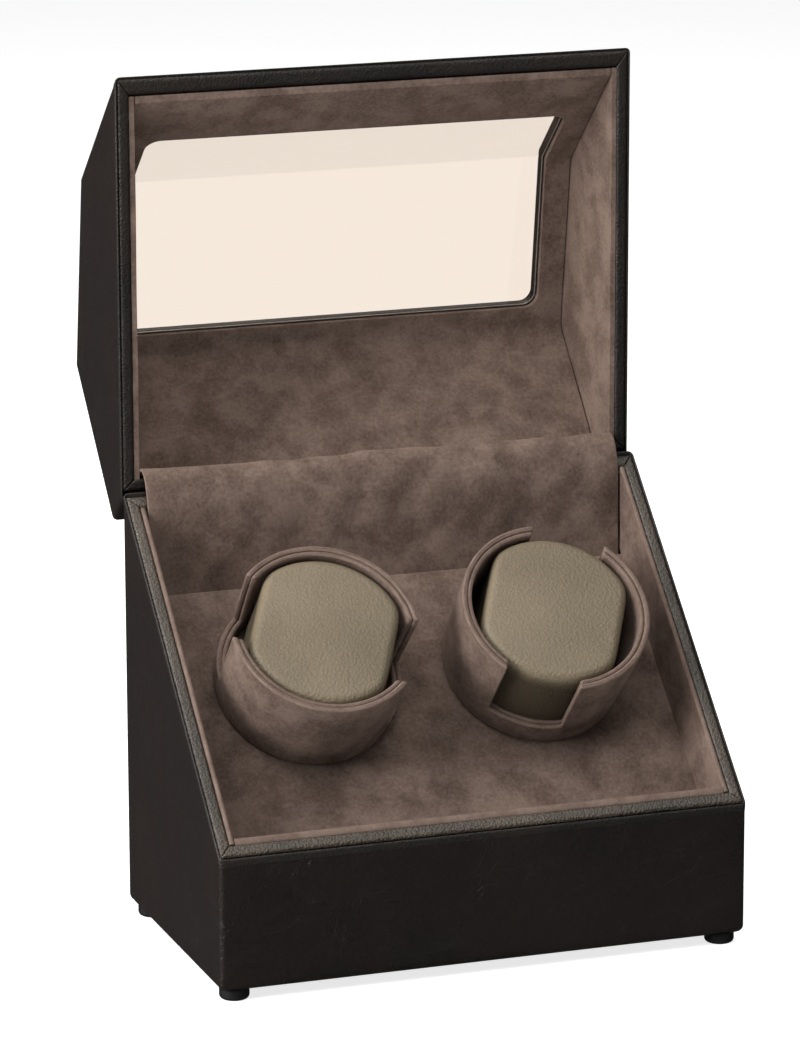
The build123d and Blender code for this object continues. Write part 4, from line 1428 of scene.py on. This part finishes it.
@dataclass
class Cushion:
    """The pillow a watch is strapped round: a firm pad with two flat sides and a crowned top."""

    layout: Layout
    side: str
    turn: float = 66.0
    radius: float = 38.4
    flats: float = 64.0
    low: float = 6.3
    high: float = 48.9
    corner: float = 4.5
    crown: float = 0.9

    def rim(self, angle: Array) -> Array:
        """Distance from the middle to the side: a circle cut by two flats, blended by a high power.

        With a and b the distances to the circle and to a flat, it is (a^-n + b^-n)^(-1/n).
        """
        flat = self.flats / 2 / np.clip(np.abs(np.sin(angle)), 1e-6, None)
        n = 26.0
        return (self.radius**-n + flat**-n) ** (-1 / n) * 2 ** (0.15 / n)

    def build(self) -> None:
        """Rings from the bottom edge, up the side, over the rounded corner and across the top."""
        a = np.linspace(0, 2 * math.pi, 193)[:-1]
        reach = self.rim(a)
        quarter = np.linspace(0, math.pi / 2, 9)
        top = self.high - self.crown
        rings: list[tuple[float, float]] = [(14.0, self.low), (3.0, self.low), (0.8, self.low + 0.5)]
        rings += [
            (
                0.15 * math.sin(math.pi * s), self.low + 2.4 + s * (top - self.corner - self.low - 2.4)
            ) for s in np.linspace(0, 1, 9)
        ]
        rings += [
            (
                self.corner * (1 - math.cos(q)), top - self.corner + self.corner * math.sin(q)
            ) for q in quarter[1:-1]
        ]
        grid = []
        for inset, z in rings:
            r = reach - inset
            grid.append(np.stack([r * np.cos(a), r * np.sin(a), np.full_like(a, z)], -1))
        # Across the top the rings shrink to the middle and rise by a shallow dome.
        for share in np.linspace(1, 0.04, 20):
            r = (reach - self.corner) * share
            dome = self.crown * (1 - share**2)
            x, y = r * np.cos(a), r * np.sin(a)
            dimple = 0.14 * waves(x, y, 71 if self.side == "left" else 73, (26.0, 39.0, 55.0))
            z = top + dome + dimple * (1 - share**2) ** 2
            grid.append(np.stack([x, y, z], -1))
        cup = Cup(self.layout, self.side, self.turn)
        piece = make_object(f"cushion_pad_{self.side}", *sealed(cup.stand(np.array(grid))), 60)
        # The "side" value is 1 down the cushion's sides and fades out near its top; it places the painted shade.
        height = np.concatenate([np.array(grid)[..., 2].ravel(), [self.low, self.high]])
        side = piece.data.attributes.new("side", "FLOAT", "POINT")
        side.data.foreach_set("value", 1 - smooth_step(height, self.high - 9.0, self.high - 1.5))
        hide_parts(f"cushion_{self.side}")
        dress(piece, "cushion_leather", f"cushion_{self.side}")


# ---------------------------------------------------------------- dressing

MATERIALS: dict[str, bpy.types.Material] = {}


def material_for(slot: str) -> bpy.types.Material:
    """The material of a record slot, made the first time it is asked for."""
    if slot not in MATERIALS:
        MATERIALS[slot] = FINISHES[slot].build()
    return MATERIALS[slot]


def dress(piece: bpy.types.Object, slot: str, body: str | None, finish: str = "") -> bpy.types.Object:
    """Gives a new piece the material of its record slot or of its own finish, and the body it rides on.

    Args:
        piece: The object.
        slot: The record's material slot.
        body: The body it moves with, or None for a piece that rides on no body.
        finish: Its finish, where it isn't the slot's own.

    Returns:
        The same object.
    """
    if not piece.data.materials:
        piece.data.materials.append(material_for(finish or slot))
    if body is not None:
        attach(piece, body)
    log.info("%s: %d faces, %s", piece.name, len(piece.data.polygons), slot)
    return piece


def dress_nodes() -> None:
    """Gives every carried-over node the finish of its record slot."""
    slots = {part["node"]: part["material_slot"] for part in frame["record"]["subparts"]}
    for name, node in frame["nodes"].items():
        if not node.material_slots:
            node.data.materials.append(None)
        for place in node.material_slots:
            place.material = material_for(slots[name])


# ---------------------------------------------------------------- studio


@dataclass(frozen=True)
class Softbox:
    """A square light on a stand, aimed at the box."""

    name: str
    place: tuple[float, float, float]
    size: tuple[float, float]
    power: float
    aim: tuple[float, float, float] = (0.0, 0.0, 0.16)

    def build(self) -> None:
        """Adds the light."""
        data = bpy.data.lights.new(self.name, "AREA")
        data.shape = "RECTANGLE"
        data.size, data.size_y = self.size
        data.energy = self.power
        lamp = bpy.data.objects.new(self.name, data)
        bpy.context.scene.collection.objects.link(lamp)
        lamp.location = self.place
        lamp.rotation_euler = (Vector(self.aim) - Vector(self.place)).to_track_quat("-Z", "Y").to_euler()


AMBIENT = 0.05
FLOOR = 12.0  # metres from the middle to each edge
LIGHTS = (
    Softbox("overhead", (0.6, -0.34, 1.9), (1.2, 1.2), 9.0),
    Softbox("top_left", (-1.1, -0.2, 1.7), (0.7, 0.7), 14.0),
    Softbox("left", (-1.9, -0.5, 0.85), (0.7, 0.9), 44.0), Softbox("back", (0.1, 1.3, 1.9), (1.2, 0.8), 12.0),
    Softbox("top_front", (-0.3, -1.2, 1.9), (0.9, 0.7), 14.0)
)


def studio() -> None:
    """A pale floor, a white surround and soft boxes above, left and right."""
    scene = bpy.context.scene
    world = bpy.data.worlds.new("white surround")
    scene.world = world
    world.use_nodes = True
    tree = world.node_tree
    tree.nodes.clear()
    # The backdrop is lit white, and little of it falls back on the box.
    rays = tuple(add_node(tree, "LightPath", (), f"Is {ray} Ray") for ray in ("Camera", "Transmission"))
    seen = add_node(tree, "Math", rays, operation="MAXIMUM")
    strength = add_node(tree, "MapRange", (seen, 0.0, 1.0, AMBIENT, 1.0))
    add_node(tree, "OutputWorld", (add_node(tree, "Background", (linear("FFFFFF"), strength)),))
    mesh = bpy.data.meshes.new("floor")
    corners = [(x * FLOOR, y * FLOOR, 0) for x, y in ((-1, -1), (1, -1), (1, 1), (-1, 1))]
    mesh.from_pydata(corners, [], [(0, 1, 2, 3)])
    floor = bpy.data.objects.new("floor", mesh)
    scene.collection.objects.link(floor)
    floor.visible_glossy = False
    floor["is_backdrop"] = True
    paper, tree = new_material("matt_white_paper")
    # The paper is lit a little from below, so that only a faint shadow is left on it.
    matt = add_node(tree, "BsdfDiffuse", (linear("E6E6E6"),))
    lift = add_node(tree, "LightPath", (), "Is Camera Ray")
    lift = add_node(tree, "MapRange", (lift, 0.0, 1.0, 0.0, 0.78))
    both = add_node(tree, "AddShader", (matt, add_node(tree, "Emission", (linear("FFFFFF"), lift))))
    through = add_node(tree, "Emission", (linear("FFFFFF"), 1.0))
    clear = add_node(tree, "LightPath", (), "Is Transmission Ray")
    add_node(tree, "OutputMaterial", (add_node(tree, "MixShader", (clear, both, through)),))
    mesh.materials.append(paper)
    for box in LIGHTS:
        box.build()
    scene.view_settings.view_transform = "Standard"


def camera() -> None:
    """A long lens from the front left, looking down on the box."""
    data = bpy.data.cameras.new("camera")
    eye = bpy.data.objects.new("camera", data)
    bpy.context.scene.collection.objects.link(eye)
    yaw, pitch, roll = math.radians(19.329), math.radians(14.174), math.radians(-0.139)
    data.sensor_width = 36.0
    data.lens = 5320.1 / 1061 * 36
    data.clip_start, data.clip_end = 0.1, 60
    eye.rotation_mode = "QUATERNION"
    eye.rotation_quaternion = (
        Matrix.Rotation(-yaw, 3, "Z") @ Matrix.Rotation(
            math.pi / 2 - pitch, 3, "X"
        ) @ Matrix.Rotation(roll, 3, "Z")
    ).to_quaternion()
    eye.location = (-0.7852, -2.2319, 0.7766)
    bpy.context.scene.camera = eye


# ---------------------------------------------------------------- main


def main() -> None:
    """Builds the box in order, then sets up the studio."""
    logging.basicConfig(level=logging.INFO, format="%(name)s: %(message)s")
    cad_box = [list(corner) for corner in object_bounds()]
    layout = Layout()
    Case(layout).build()
    Lid(layout).build()
    HingeFlap(layout).build()
    for side, turn in (("left", 156.5), ("right", 66.0)):
        Cup(layout, side, turn).build()
        Cushion(layout, side).build()
    dress_nodes()
    studio()
    camera()
    bpy.context.view_layer.update()
    visual_box = [list(corner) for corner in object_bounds()]
    for axis, name in enumerate("xyz"):
        grown = [round((visual_box[k][axis] - cad_box[k][axis]) * 1000, 2) for k in (0, 1)]
        log.info("size %s grows by %s mm", name, grown)


if __name__ == "__main__":
    main()
